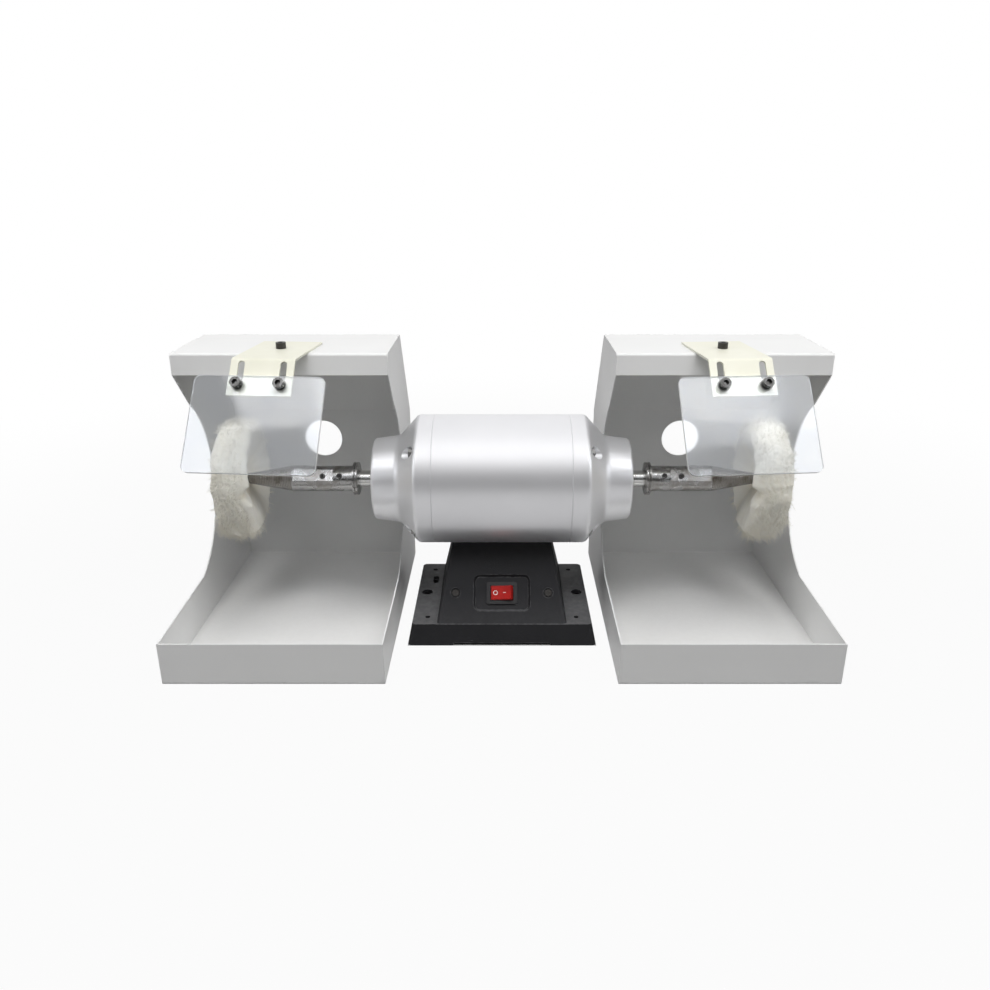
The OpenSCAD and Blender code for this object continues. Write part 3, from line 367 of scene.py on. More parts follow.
def acrylicEdgeMaterial():
    # sawn edge of the sheet, which collects light and reads as a white line
    look = {"colour": (0.98, 0.98, 0.98, 1), "patchColour": (0.92, 0.93, 0.94, 1), "roughness": 0.6,
            "grainScale": 1400.0, "grainDepth": 0.05 * mm, "patchScale": 90.0}
    material = newMaterial("acrylicEdge", Roughness=look["roughness"])
    grain = useGroup(material, grainGroup, Grain_Scale=look["grainScale"], Patch_Scale=look["patchScale"])
    colour = mixColours(material, grain.outputs["Patches"], look["colour"], look["patchColour"])
    feedShader(material, "Base Color", colour)
    bumpFrom(material, grain.outputs["Height"], look["grainDepth"])
    return material


def cottonMaterial():
    # cotton cloth: fibre grain, painted shade in its creases and round the hub, slow patches of tone and a
    # fine sheen
    look = {"colour": (0.97, 0.945, 0.86, 1), "shadeAndPatchColour": (0.82, 0.74, 0.56, 1), "patchShare": 0.12,
            "roughness": 0.88, "patchRoughness": 1.0, "specular": 0.2, "sheen": 0.35, "sheenRoughness": 0.5,
            "grainScale": 1500.0, "softness": 0.8, "grainDepth": 0.4 * mm, "patchScale": 55.0}
    material = newMaterial("cottonCloth", Sheen_Weight=look["sheen"], Sheen_Roughness=look["sheenRoughness"],
                           Specular_IOR_Level=look["specular"])
    grain = useGroup(material, grainGroup, Grain_Scale=look["grainScale"], Patch_Scale=look["patchScale"],
                     Softness=look["softness"])
    patches = grain.outputs["Patches"]
    # painted shade from the buff's attribute: in the ply grooves, the gathers, the fold at the front and
    # round the hub; slow patches of tone are added to it
    crease = addNode(material.node_tree, "Attribute", attribute_name="depth")
    paintedShadeAndPatches = sharpen(material.node_tree, patches, gain=look["patchShare"], offset=crease.outputs["Fac"])
    feedShader(material, "Base Color", mixColours(material, paintedShadeAndPatches, look["colour"], look["shadeAndPatchColour"]))
    feedRoughness(material, patches, look["roughness"], look["patchRoughness"])
    bumpFrom(material, grain.outputs["Height"], look["grainDepth"])
    return material


paintLooks = {
    "hood_paint": {
        "name": "hoodPowderCoat", "colour": (0.85, 0.85, 0.845, 1),
        "patchColour": (0.82, 0.82, 0.815, 1), "roughness": 0.34, "patchRoughness": 0.4,
        "grainScale": 700.0, "grainDepth": 0.04 * mm, "patchScale": 9.0,
        # the lighter edge colour is a painted highlight
        "edgeColour": (0.93, 0.93, 0.92, 1), "edgeRadius": 0.8 * mm, "edgeAmount": 0.5,
        "dustColour": (0.64, 0.63, 0.61, 1), "dustHeight": 20 * mm, "dustAmount": 0.35,
    },
    "cream_paint": {
        "name": "creamPowderCoat", "colour": (0.84, 0.83, 0.72, 1),
        "patchColour": (0.80, 0.79, 0.67, 1), "roughness": 0.4, "patchRoughness": 0.48,
        "grainScale": 800.0, "grainDepth": 0.05 * mm, "patchScale": 22.0,
        # the lighter edge colour is a painted highlight
        "edgeColour": (0.93, 0.92, 0.83, 1), "edgeRadius": 0.8 * mm, "edgeAmount": 0.5,
    },
    "silver_paint": {
        "name": "silverPaint", "colour": (0.84, 0.84, 0.86, 1), "patchColour": (0.81, 0.81, 0.83, 1),
        "roughness": 0.35, "patchRoughness": 0.41, "metallic": 0.7, "grainScale": 1300.0,
        "grainDepth": 0.03 * mm, "patchScale": 14.0, "edgeColour": (0.80, 0.80, 0.82, 1),
        "edgeRadius": 1 * mm, "edgeAmount": 0.5,
    },
    "black_casting": {
        "name": "blackTexturedPaint", "colour": (0.012, 0.012, 0.0135, 1),
        "patchColour": (0.017, 0.017, 0.019, 1), "roughness": 0.55, "patchRoughness": 0.65,
        "specular": 0.25, "grainScale": 900.0, "grainDepth": 0.2 * mm, "patchScale": 18.0,
        "edgeColour": (0.16, 0.16, 0.165, 1), "edgeRadius": 1.4 * mm, "edgeAmount": 0.8,
        "dustColour": (0.24, 0.24, 0.245, 1), "dustHeight": 50 * mm, "dustAmount": 1.0,
    },
    "black_plastic": {
        "name": "blackPlastic", "colour": (0.012, 0.012, 0.013, 1),
        "patchColour": (0.018, 0.018, 0.02, 1), "roughness": 0.4, "patchRoughness": 0.5,
        "grainScale": 1600.0, "grainDepth": 0.05 * mm, "patchScale": 60.0,
    },
    "red_plastic": {
        "name": "redRocker", "colour": (0.42, 0.008, 0.005, 1), "patchColour": (0.30, 0.004, 0.003, 1),
        "roughness": 0.3, "patchRoughness": 0.4, "specular": 0.3, "grainScale": 500.0,
        # the near-black edge colour is painted shade round the rocker's outline
        "grainDepth": 0.03 * mm, "patchScale": 160.0, "edgeColour": (0.05, 0.002, 0.002, 1),
        "edgeRadius": 2.2 * mm, "edgeAmount": 1.0,
    },
    "white_plastic": {
        "name": "whitePlastic", "colour": (0.82, 0.81, 0.77, 1), "patchColour": (0.78, 0.77, 0.72, 1),
        "roughness": 0.4, "patchRoughness": 0.5, "grainScale": 1200.0, "grainDepth": 0.05 * mm,
        "patchScale": 40.0,
    },
    "black_rubber": {
        "name": "blackRubber", "colour": (0.02, 0.02, 0.02, 1), "patchColour": (0.035, 0.034, 0.033, 1),
        "roughness": 0.75, "patchRoughness": 0.85, "grainScale": 1400.0, "grainDepth": 0.1 * mm,
        "patchScale": 50.0,
    },
    "laminations": {
        "name": "electricalSteel", "colour": (0.28, 0.28, 0.3, 1), "patchColour": (0.22, 0.21, 0.22, 1),
        "roughness": 0.45, "patchRoughness": 0.55, "metallic": 0.9, "grainScale": 1800.0,
        "grainDepth": 0.08 * mm, "patchScale": 30.0,
    },
    "copper": {
        "name": "copperWire", "colour": (0.72, 0.36, 0.18, 1), "patchColour": (0.6, 0.27, 0.12, 1),
        "roughness": 0.3, "patchRoughness": 0.42, "metallic": 0.9, "grainScale": 900.0,
        "grainDepth": 0.2 * mm, "patchScale": 70.0,
    },
    "black_oxide": {
        "name": "blackenedSteel", "colour": (0.06, 0.06, 0.062, 1),
        "patchColour": (0.09, 0.085, 0.08, 1), "roughness": 0.4, "patchRoughness": 0.5, "metallic": 0.9,
        "grainScale": 1500.0, "grainDepth": 0.04 * mm, "patchScale": 90.0,
    },
}
steelLooks = {
    "zinc_steel": {
        "name": "zincPlatedSteel", "colour": (0.36, 0.36, 0.355, 1),
        "stainColour": (0.20, 0.195, 0.18, 1), "roughness": 0.3, "stainRoughness": 0.42,
        "ringScale": 1600.0, "ringDepth": 0.003 * mm, "stainScale": 180.0, "stainAmount": 0.5,
    },
    "dull_zinc": {
        "name": "dullZinc", "colour": (0.13, 0.13, 0.13, 1), "stainColour": (0.06, 0.055, 0.05, 1),
        "roughness": 0.27, "stainRoughness": 0.45, "ringScale": 1600.0, "ringDepth": 0.003 * mm,
        "stainScale": 180.0, "stainAmount": 0.6,
    },
    "bearing_steel": {
        "name": "bearingSteel", "colour": (0.62, 0.62, 0.61, 1), "stainColour": (0.45, 0.43, 0.4, 1),
        "roughness": 0.18, "stainRoughness": 0.3, "ringScale": 1200.0, "ringDepth": 0.01 * mm,
        "stainScale": 120.0, "stainAmount": 0.3,
    },
    "ground_steel": {
        "name": "turnedSpindleSteel", "colour": (0.36, 0.355, 0.35, 1),
        "stainColour": (0.17, 0.145, 0.12, 1), "roughness": 0.26, "stainRoughness": 0.38,
        "ringScale": 1100.0, "ringDepth": 0.002 * mm, "stainScale": 60.0, "stainAmount": 0.6,
    },
}
materials = {name: paintMaterial(look) for name, look in paintLooks.items()}
materials.update({name: steelMaterial(look) for name, look in steelLooks.items()})
materials["clear_acrylic"] = acrylicMaterial()
materials["cotton"] = cottonMaterial()
acrylicEdge = acrylicEdgeMaterial()
whiteMark = paintMaterial({
    "name": "whiteMark", "colour": (0.9, 0.9, 0.88, 1), "patchColour": (0.82, 0.8, 0.78, 1),
    "roughness": 0.4, "patchRoughness": 0.5, "grainScale": 900.0, "grainDepth": 0.03 * mm,
    "patchScale": 200.0})
threadSteel = steelMaterial({
    "name": "threadSteel", "colour": (0.30, 0.285, 0.27, 1), "stainColour": (0.10, 0.075, 0.055, 1),
    "roughness": 0.32, "stainRoughness": 0.5, "ringScale": 900.0, "ringDepth": 0.02 * mm,
    "stainScale": 60.0, "stainAmount": 0.8})
# screws whose plating has gone dull or dark with handling
wornScrews = {"panel_screws": "black_oxide", "bracket_screws": "black_oxide",
              "left_shield_screws": "dull_zinc", "right_shield_screws": "dull_zinc"}
for nodeName, cadObject in nodes.items():
    lookName = wornScrews.get(nodeName, slotOfNode[nodeName])
    cadObject.data.materials.clear()
    cadObject.data.materials.append(materials[lookName])
print("materials made:", len(bpy.data.materials))


# ---- shells and plates: the CAD shape with its edges broken ----
shellLook = {
    "mergeGap": 0.002 * mm,
    "flatAngle": 0.4,        # degrees: faces that meet flatter than this become one
    "brokenAngle": 38,       # edges sharper than this are broken
    "brokenSteps": 2,
    "smoothAngle": 28,       # edges flatter than this are shaded smooth
}
# width of each piece's broken edges, in millimetres
edgeWidths = {
    "motor_barrel": 0.25, "left_end_bell": 0.5, "right_end_bell": 0.5, "base_casting": 0.6,
    "switch_housing": 0.3, "switch_rocker": 0.4,
    "left_spindle": 0.25, "right_spindle": 0.25, "left_slinger": 0.3, "right_slinger": 0.3,
    "left_hood_wrap": 0.25, "right_hood_wrap": 0.25,
    "left_hood_inner_side": 0.3, "right_hood_inner_side": 0.3,
    "left_hood_outer_side": 0.3, "right_hood_outer_side": 0.3,
    "left_bracket": 0.35, "right_bracket": 0.35,
    "left_shield": 0.7, "right_shield": 0.7,
}


def camelName(nodeName):
    words = nodeName.split("_")
    return words[0] + "".join(word.capitalize() for word in words[1:])


def dressNode(nodeName, edgeWidth):
    makeActive(nodes[nodeName])
    bpy.ops.object.duplicate()
    piece = bpy.context.object
    # the copy is a piece of its own, not the CAD's node
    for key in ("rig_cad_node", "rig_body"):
        del piece[key]
    piece.parent = None
    piece.name = camelName(nodeName)
    bpy.ops.object.mode_set(mode="EDIT")
    bpy.ops.mesh.select_all(action="SELECT")
    bpy.ops.mesh.remove_doubles(threshold=shellLook["mergeGap"])
    bpy.ops.mesh.dissolve_limited(angle_limit=math.radians(shellLook["flatAngle"]))
    bpy.ops.object.mode_set(mode="OBJECT")
    bevel = piece.modifiers.new("brokenEdges", "BEVEL")
    bevel.width = edgeWidth * mm
    bevel.segments = shellLook["brokenSteps"]
    bevel.limit_method = "ANGLE"
    bevel.angle_limit = math.radians(shellLook["brokenAngle"])
    applyModifiers(piece)
    bpy.ops.object.shade_smooth_by_angle(angle=math.radians(shellLook["smoothAngle"]))
    if slotOfNode[nodeName] != "clear_acrylic":
        # broad faces stay flat beside their rounded edges
        even = piece.modifiers.new("evenNormals", "WEIGHTED_NORMAL")
        even.keep_sharp = True
        applyModifiers(piece)
    return finishPiece(piece, bodyOfNode[nodeName], slotOfNode[nodeName], nodeName)


dressed = {nodeName: dressNode(nodeName, width) for nodeName, width in edgeWidths.items()}
print("shells and plates dressed:", len(dressed))


def frostShieldEdges(side):
    # the sheet's faces stay clear, its sawn edges and holes turn white
    flatEnough = 0.9  # how nearly a clear face looks along the sheet's thickness
    piece = dressed[side + "_shield"]
    piece.data.materials.append(acrylicEdge)
    slide = Vector(jointNamed[side + "_shield_slide"]["axis"])
    across = Vector((slide.y, -slide.x, 0)).normalized()
    outward = across.cross(slide)
    for face in piece.data.polygons:
        face.material_index = 1 if abs(face.normal.dot(outward)) < flatEnough else 0
        face.use_smooth = face.material_index == 1


for side in ("left", "right"):
    frostShieldEdges(side)
print("shield edges frosted")


# ---- threads of the tapered spindles ----
threadLook = {
    "pitch": 1.9 * mm,
    "rise": 0.35 * mm,       # crest over the taper's surface
    "sink": 0.05 * mm,       # root under it
    "barrelRadius": 13.5 * mm,
    "tipRadius": 2 * mm,
    "taperStart": 222 * mm,  # from the motor's middle
    "taperEnd": 289 * mm,
    "stepsPerTurn": 40,
    "mergeGap": 0.01 * mm,
    "smoothAngle": 20,       # degrees
}


def taperRadius(along):
    # the taper's surface at a place along the motor's axis
    look = threadLook
    slope = (look["barrelRadius"] - look["tipRadius"]) / (look["taperEnd"] - look["taperStart"])
    return look["barrelRadius"] - slope * (along - look["taperStart"])


def makeThread(side):
    look = threadLook
    axisHeight = jointNamed["rotor_spin"]["pos_m"][2]
    sign = 1 if side == "right" else -1
    half = look["pitch"] / 2
    # one tooth's section, a V on the surface of a straight bar: its two roots and its crest
    tooth = ((-look["sink"], -half), (-look["sink"], half), (look["rise"], 0))
    thread = makeMeshPiece(side + "TaperThread",
                           [(look["barrelRadius"] + height, 0, along) for height, along in tooth],
                           [(0, 2), (2, 1)], [])
    screw = thread.modifiers.new("helix", "SCREW")
    screw.axis = "Z"
    screw.screw_offset = look["pitch"]
    screw.iterations = int((look["taperEnd"] - look["taperStart"]) / look["pitch"])
    screw.steps = screw.render_steps = look["stepsPerTurn"]
    screw.use_merge_vertices = True
    screw.merge_threshold = look["mergeGap"]
    applyModifiers(thread)
    # the straight thread is laid on the taper
    for vert in thread.data.vertices:
        along = look["taperStart"] + vert.co.z + half
        height = math.hypot(vert.co.x, vert.co.y) - look["barrelRadius"]
        angle = math.atan2(vert.co.y, vert.co.x)
        radius = taperRadius(along) + height
        vert.co = Vector((sign * along, radius * math.cos(angle), axisHeight + radius * math.sin(angle)))
    makeActive(thread)
    bpy.ops.object.mode_set(mode="EDIT")
    bpy.ops.mesh.select_all(action="SELECT")
    bpy.ops.mesh.normals_make_consistent(inside=False)
    bpy.ops.object.mode_set(mode="OBJECT")
    bpy.ops.object.shade_smooth_by_angle(angle=math.radians(look["smoothAngle"]))
    thread.data.materials.append(threadSteel)
    finishPiece(thread, "rotor", "ground_steel")


for side in ("left", "right"):
    makeThread(side)
print("threads cut")


# ---- marks moulded into the rocker ----
rockerLook = {
    "topHeight": 3.5 * mm,   # from the pivot to the middle of the rocker's top
    "tilt": 10,              # degrees from level, to each side
    "ringPlace": -6.2 * mm,  # along the rocker, from the middle of its top
    "ringRadius": 2.1 * mm,
    "dashPlace": 3.6 * mm,
    "dashLength": 3.0 * mm,
    "lineWidth": 0.62 * mm,
    "rise": 0.12 * mm,
    "smoothAngle": 40,       # degrees
}


def rockerFace(side, along):
    # a frame on one half of the rocker's top: x along the half, y up the panel, z out of it
    joint = jointNamed["rocker_tilt"]
    upPanel = Vector(joint["axis"]).normalized()
    right = Vector((1, 0, 0))
    out = right.cross(upPanel)
    tilt = math.radians(rockerLook["tilt"])
    up = out * math.cos(tilt) - right * math.sin(tilt)
    middle = Vector(joint["pos_m"]) + rockerLook["topHeight"] * up
    slope = 0 if side == "left" else 2 * tilt
    way = right * math.cos(slope) + out * math.sin(slope)
    face = Matrix((way, upPanel, way.cross(upPanel))).transposed().to_4x4()
    face.translation = middle + way * along
    return face


def makeRockerMarks():
    look = rockerLook
    bpy.ops.mesh.primitive_torus_add(major_radius=look["ringRadius"], minor_radius=look["lineWidth"] / 2,
                                     major_segments=40, minor_segments=8)
    ring = bpy.context.object
    ring.scale.z = look["rise"] / look["lineWidth"]
    applyPlace(ring)
    ring.matrix_world = rockerFace("left", look["ringPlace"])
    bpy.ops.mesh.primitive_cube_add(size=1)
    dash = bpy.context.object
    dash.scale = (look["dashLength"], look["lineWidth"], look["rise"])
    applyPlace(dash)
    bevel = dash.modifiers.new("softEnds", "BEVEL")
    bevel.width = look["rise"] / 3
    bevel.segments = 2
    applyModifiers(dash)
    dash.matrix_world = rockerFace("right", look["dashPlace"])
    for mark in (ring, dash):
        applyPlace(mark)
        mark.data.materials.append(whiteMark)
    marks = joinPieces([ring, dash], "rockerMarks")
    bpy.ops.object.shade_smooth_by_angle(angle=math.radians(look["smoothAngle"]))
    finishPiece(marks, "rocker", "white_plastic")


makeRockerMarks()
print("rocker marked")


# ---- cotton buffs ----
buffLook = {
    "middle": 279 * mm,      # from the motor's middle
    "rimRadius": 62.5 * mm,
    "halfWidth": 16.5 * mm,
    "rimRound": 13 * mm,     # soft shoulder of the rim
    "rimFullness": 0.62,     # power of the rim's round: under 1 it is fuller than a circle
    "rimSink": 0.2 * mm,     # the rim stays this far inside the half width
    "faceSink": 1.0 * mm,    # and the faces this far
    "hubRadius": 14 * mm,    # where the plies are stitched flat
    "hubHalfWidth": 7.5 * mm,
    "hubSink": 1.2 * mm,     # the faces start this far inside the hub's half width
    "boreGap": 0.4 * mm,     # cloth clear of the taper
    "steps": 300,            # round the buff
    "faceSteps": 26,         # from the hub to the rim
    "rimSteps": 64,
}
# stacked collars of cloth round the taper: share of the way to the hub's radius, and height in millimetres
hubCollars = ((0, 0.0), (0.35, 0.9), (0.36, -0.7), (0.7, 0.2), (0.71, -1.4), (1.0, -1.2))
buffBore = taperRadius(buffLook["middle"] - buffLook["hubHalfWidth"]) + buffLook["boreGap"]


def buffProfile():
    # (radius, distance from the middle plane) along the outline, from one hub round the rim to the other
    look = buffLook
    points = [(buffBore + (look["hubRadius"] - buffBore) * share, look["hubHalfWidth"] + height * mm)
              for share, height in hubCollars]
    rimStart = look["rimRadius"] - look["rimRound"]
    faceStart = look["hubHalfWidth"] - look["hubSink"]
    faceEnd = look["halfWidth"] - look["faceSink"]
    for step in range(1, look["faceSteps"] + 1):
        share = step / look["faceSteps"]
        rise = share * share * (3 - 2 * share)
        points.append((look["hubRadius"] + (rimStart - look["hubRadius"]) * share,
                       faceStart + (faceEnd - faceStart) * rise))
    rim = []
    for step in range(1, look["rimSteps"]):
        turn = math.pi * (step / look["rimSteps"] - 0.5)
        rim.append((rimStart + look["rimRound"] * math.cos(turn) ** look["rimFullness"],
                    (look["halfWidth"] - look["rimSink"]) * math.sin(turn)))
    return [(radius, -width) for radius, width in points] + rim + points[::-1]


def spinProfile(points, name):
    # turns an open outline of (radius, along) round the X axis
    piece = makeMeshPiece(name, [(along, radius, 0) for radius, along in points],
                          [(i, i + 1) for i in range(len(points) - 1)], [])
    makeActive(piece)
    bpy.ops.object.mode_set(mode="EDIT")
    bpy.ops.mesh.select_all(action="SELECT")
    bpy.ops.mesh.spin(steps=buffLook["steps"], angle=2 * math.pi, center=(0, 0, 0), axis=(1, 0, 0))
    bpy.ops.mesh.select_all(action="SELECT")
    bpy.ops.mesh.normals_make_consistent(inside=False)
    bpy.ops.object.mode_set(mode="OBJECT")
    return piece


crumpleLook = {
    # each noise has its waves round the buff, its reach and a seed that sets it apart from the others
    "outline": {"waves": 1.7, "reach": 3.2 * mm, "bias": 0.35},
    "bulge": {"waves": 6, "reach": 0.9 * mm, "seed": 4},
    "cloth": {"waves": 22, "reach": 0.9 * mm, "perMetre": 260},
    "thread": {"waves": 48, "reach": 0.8 * mm, "perMetre": 700},
    "rimStart": 0.75,        # share of the rim's shoulder that counts as rim
    "plies": 6,              # cloth edges that show on the rim
    "plyGroove": 1.2 * mm,
    "plySharpness": 0.55,
    "plyDrift": ({"waves": 2.4, "reach": 1.2, "seed": 9}, {"waves": 9, "reach": 0.4, "seed": 1}),  # in plies
    "plyStrength": {"waves": 3, "reach": 1.6, "seed": 20, "perPly": 0.3, "middle": 0.5, "least": 0.35},
    "foldCount": 13,         # gathers on the two faces
    "foldDepth": 1.7 * mm,
    "foldDrift": {"waves": 1.3, "reach": 3.5, "seed": 2},
    "foldSwirl": 2,          # how far the gathers turn from hub to rim, in radians
    "foldPatches": {"waves": 2, "bias": 0.35, "seed": -3},
    "foldOnRim": 0.4,        # share of the gathers that is left on the rim
    "wobble": {"waves": 1.1, "reach": 2.2 * mm, "seed": 30, "power": 1.5},  # the whole disc bends
    "flareOnRim": 0.45,      # share of the flare that is left on the rim
    "creaseTurn": 181,       # degrees, the fold between the two flares
    "creaseHalf": 9,
    # how soon each is full on the way out: 1 at the rim, 2 half way there
    "foldRise": 1.5, "foldShadeRise": 2, "flareRise": 1.3, "creaseShadeRise": 3,
    "hubShadeFade": 2.2,          # and how soon the painted shade round the hub is gone
    "stillCloth": 0.5 * mm,  # this near to the bore the cloth stays in place
    # how dark the painted shade in the hollows is, 0 to 1
    "plyShade": 0.3, "foldShade": 0.2, "creaseShade": 0.45, "hubShade": 0.55,
}
buffSides = {
    "left": {"sign": -1, "seed": 3.7, "upperFlare": 5 * mm, "lowerFlare": 7 * mm},
    "right": {"sign": 1, "seed": 11.3, "upperFlare": 9 * mm, "lowerFlare": 8 * mm},
}
# The cloth flares to the motor's side above and below the spindle, with a fold at the front between the
# two. These are the turns, in degrees from the back over the top, at which a flare starts, is full and ends.
upperTurns = (50, 170, 178)
lowerTurns = (184, 194, 310)


def limited(value):
    return max(0.0, min(1.0, value))


def ringNoise(spot, kind, level):
    # smooth noise that closes on itself round the buff; spot is the cosine and sine of the turn
    return noise.noise(Vector((spot[0] * kind["waves"], spot[1] * kind["waves"], level)))


def outlineShift(spot, along, out, rimShare, seed):
    # the outline wanders and bulges, and cloth edges and threads roughen the rim
    outline, bulge = crumpleLook["outline"], crumpleLook["bulge"]
    shift = outline["reach"] * (ringNoise(spot, outline, seed) - outline["bias"]) * out
    shift += bulge["reach"] * ringNoise(spot, bulge, seed + bulge["seed"]) * out
    for rough in (crumpleLook["cloth"], crumpleLook["thread"]):
        shift += rough["reach"] * ringNoise(spot, rough, seed + along * rough["perMetre"]) * rimShare
    return shift


def plyHollow(spot, along, seed):
    # 1 in the grooves between the plies, which wander along the rim and fade in places
    look, strength = crumpleLook, crumpleLook["plyStrength"]
    place = along / (2 * buffLook["halfWidth"]) * look["plies"]
    place += sum(drift["reach"] * ringNoise(spot, drift, seed + drift["seed"]) for drift in look["plyDrift"])
    groove = 1 - abs(math.sin(math.pi * place)) ** look["plySharpness"]
    level = seed + strength["seed"] + place * strength["perPly"]
    clear = limited(strength["middle"] + strength["reach"] * ringNoise(spot, strength, level))
    return groove * (strength["least"] + (1 - strength["least"]) * clear)


def faceFold(spot, turn, face, out, seed):
    # -1 to 1 across the gathers of one face
    drift, patches = crumpleLook["foldDrift"], crumpleLook["foldPatches"]
    phase = crumpleLook["foldCount"] * turn + crumpleLook["foldSwirl"] * out
    phase += drift["reach"] * ringNoise(spot, drift, seed + drift["seed"] + face)
    return math.sin(phase) * (patches["bias"] + ringNoise(spot, patches, seed + patches["seed"] * face))


def flareAt(turn, turns):
    start, full, end = turns
    if turn < full:
        return max(0.0, (turn - start) / (full - start))
    return max(0.0, (end - turn) / (end - full))


def crumpleBuff(buff, side):
    # every point moves by smooth noise, and the hollows are kept as a mask of painted shade for the cloth's
    # colour
    look = crumpleLook
    wobble = look["wobble"]
    sign = side["sign"]
    seed = side["seed"]
    rimRound = buffLook["rimRound"] * look["rimStart"]
    paintedShadeMask = buff.data.attributes.new("depth", "FLOAT", "POINT")
    for vert in buff.data.vertices:
        along = vert.co.x
        radius = math.hypot(vert.co.y, vert.co.z)
        turn = math.atan2(vert.co.z, vert.co.y)
        spot = (math.cos(turn), math.sin(turn))
        out = max(0.0, (radius - buffLook["hubRadius"]) / (buffLook["rimRadius"] - buffLook["hubRadius"]))
        rimShare = max(0.0, (radius - buffLook["rimRadius"] + rimRound) / rimRound)
        hollow = plyHollow(spot, along, seed) * rimShare
        radial = outlineShift(spot, along, out, rimShare, seed) - look["plyGroove"] * hollow
        # painted shade in the grooves between the plies
        depth = look["plyShade"] * hollow
        face = 1.0 if along > 0 else -1.0
        fold = faceFold(spot, turn, face, out, seed)
        foldShare = min(1.0, out * look["foldRise"]) * (1 - (1 - look["foldOnRim"]) * rimShare)
        shift = face * look["foldDepth"] * fold * foldShare
        # painted shade in the hollows of the gathers
        depth += look["foldShade"] * max(0.0, -fold) * min(1.0, out * look["foldShadeRise"]) * (1 - rimShare)
        shift += wobble["reach"] * ringNoise(spot, wobble, seed + wobble["seed"]) * out ** wobble["power"]
        if along * sign < 0:
            degrees = math.degrees(turn) % 360
            flare = side["upperFlare"] * flareAt(degrees, upperTurns)
            flare += side["lowerFlare"] * flareAt(degrees, lowerTurns)
            flareShare = min(1.0, out * look["flareRise"]) * (1 - (1 - look["flareOnRim"]) * rimShare)
            shift -= sign * flare * flareShare
            # painted shade along the fold between the two flares
            crease = max(0.0, 1 - abs(degrees - look["creaseTurn"]) / look["creaseHalf"])
            depth += look["creaseShade"] * crease * min(1.0, out * look["creaseShadeRise"]) * (1 - rimShare)
        # painted shade round the hub
        depth += look["hubShade"] * max(0.0, 1 - out * look["hubShadeFade"])
        if radius > buffBore + look["stillCloth"]:
            radius += radial
            along += shift
        vert.co = Vector((along, radius * spot[0], radius * spot[1]))
        paintedShadeMask.data[vert.index].value = limited(depth)


frayLook = {
    "tufts": 900,
    "fibresPerTuft": 6,
    "rimReach": 6 * mm,      # how far inside the rim's radius a tuft can root
    "rootDepth": 1.5 * mm,   # how deep in the cloth a thread starts
    "tuftSpread": 1.5 * mm,
    "tuftLean": (0.7, 0.5, 0.5),
    "fibreLean": (0.35, 0.35, 0.35),
    "fibreBend": (0.5, 0.5, 0.5),
    "length": 8.5 * mm,
    "tuftLengths": (0.35, 1.0),
    "lengthPower": 1.8,      # makes most tufts short
    "fibreLengths": (0.6, 1.2),
    "hanging": 0.5,          # share by which the lowest ones are longer
    "thickness": 0.42 * mm,
    "bendPlace": 0.6,        # share of the length at which a thread bends
    "bendThickness": 0.7,
    "tipLength": 0.5,        # share of the length past the bend
}


def drawVector(draw, reach):
    return Vector([draw.uniform(-part, part) for part in reach])


def addFibre(verts, faces, start, way, bend, length):
    # a slim three-sided cone that bends once
    look = frayLook
    across = way.orthogonal().normalized() * look["thickness"] / 2
    other = way.cross(across)
    bendPlace = start + way * (length * look["bendPlace"] + look["rootDepth"])
    first = len(verts)
    for middle, share in ((start, 1.0), (bendPlace, look["bendThickness"])):
        for corner in range(3):
            turn = corner * 2 * math.pi / 3
            verts.append(middle + (across * math.cos(turn) + other * math.sin(turn)) * share)
    verts.append(bendPlace + bend * length * look["tipLength"])
    for corner in range(3):
        after = (corner + 1) % 3
        faces.append((first + corner, first + after, first + 3 + after, first + 3 + corner))
        faces.append((first + 3 + corner, first + 3 + after, first + 6))
    faces.append((first + 2, first + 1, first))


def frayBuff(buff, side, name):
    # loose threads in tufts on the rim
    look = frayLook
    draw = random.Random(int(side["seed"] * 10))
    rim = [vert for vert in buff.data.vertices
           if math.hypot(vert.co.y, vert.co.z) > buffLook["rimRadius"] - look["rimReach"]]
    verts, faces = [], []
    for tuft in range(look["tufts"]):
        root = draw.choice(rim)
        outward = Vector((0, root.co.y, root.co.z)).normalized()
        lean = drawVector(draw, look["tuftLean"])
        hanging = 1 + look["hanging"] * max(0.0, -root.co.z / buffLook["rimRadius"])
        tuftLength = look["length"] * draw.uniform(*look["tuftLengths"]) ** look["lengthPower"] * hanging
        for fibre in range(look["fibresPerTuft"]):
            aside = Vector([draw.gauss(0, look["tuftSpread"]) for axis in range(3)])
            start = root.co + aside - outward * look["rootDepth"]
            way = (outward + lean + drawVector(draw, look["fibreLean"])).normalized()
            length = tuftLength * draw.uniform(*look["fibreLengths"])
            bend = (way + drawVector(draw, look["fibreBend"])).normalized()
            addFibre(verts, faces, start, way, bend, length)
    return makeMeshPiece(name, verts, [], faces)


def makeBuff(sideName):
    side = buffSides[sideName]
    buff = spinProfile(buffProfile(), sideName + "CottonBuff")
    crumpleBuff(buff, side)
    fray = frayBuff(buff, side, sideName + "BuffFray")
    axisHeight = jointNamed["rotor_spin"]["pos_m"][2]
    for piece in (buff, fray):
        piece.location = (side["sign"] * buffLook["middle"], 0, axisHeight)
        applyPlace(piece)
        piece.data.materials.append(materials["cotton"])
    makeActive(buff)
    bpy.ops.object.shade_smooth()
    finishPiece(buff, "rotor", "cotton", sideName + "_buff")
    finishPiece(fray, "rotor", "cotton")


for sideName in buffSides:
    makeBuff(sideName)
print("buffs crumpled and frayed")


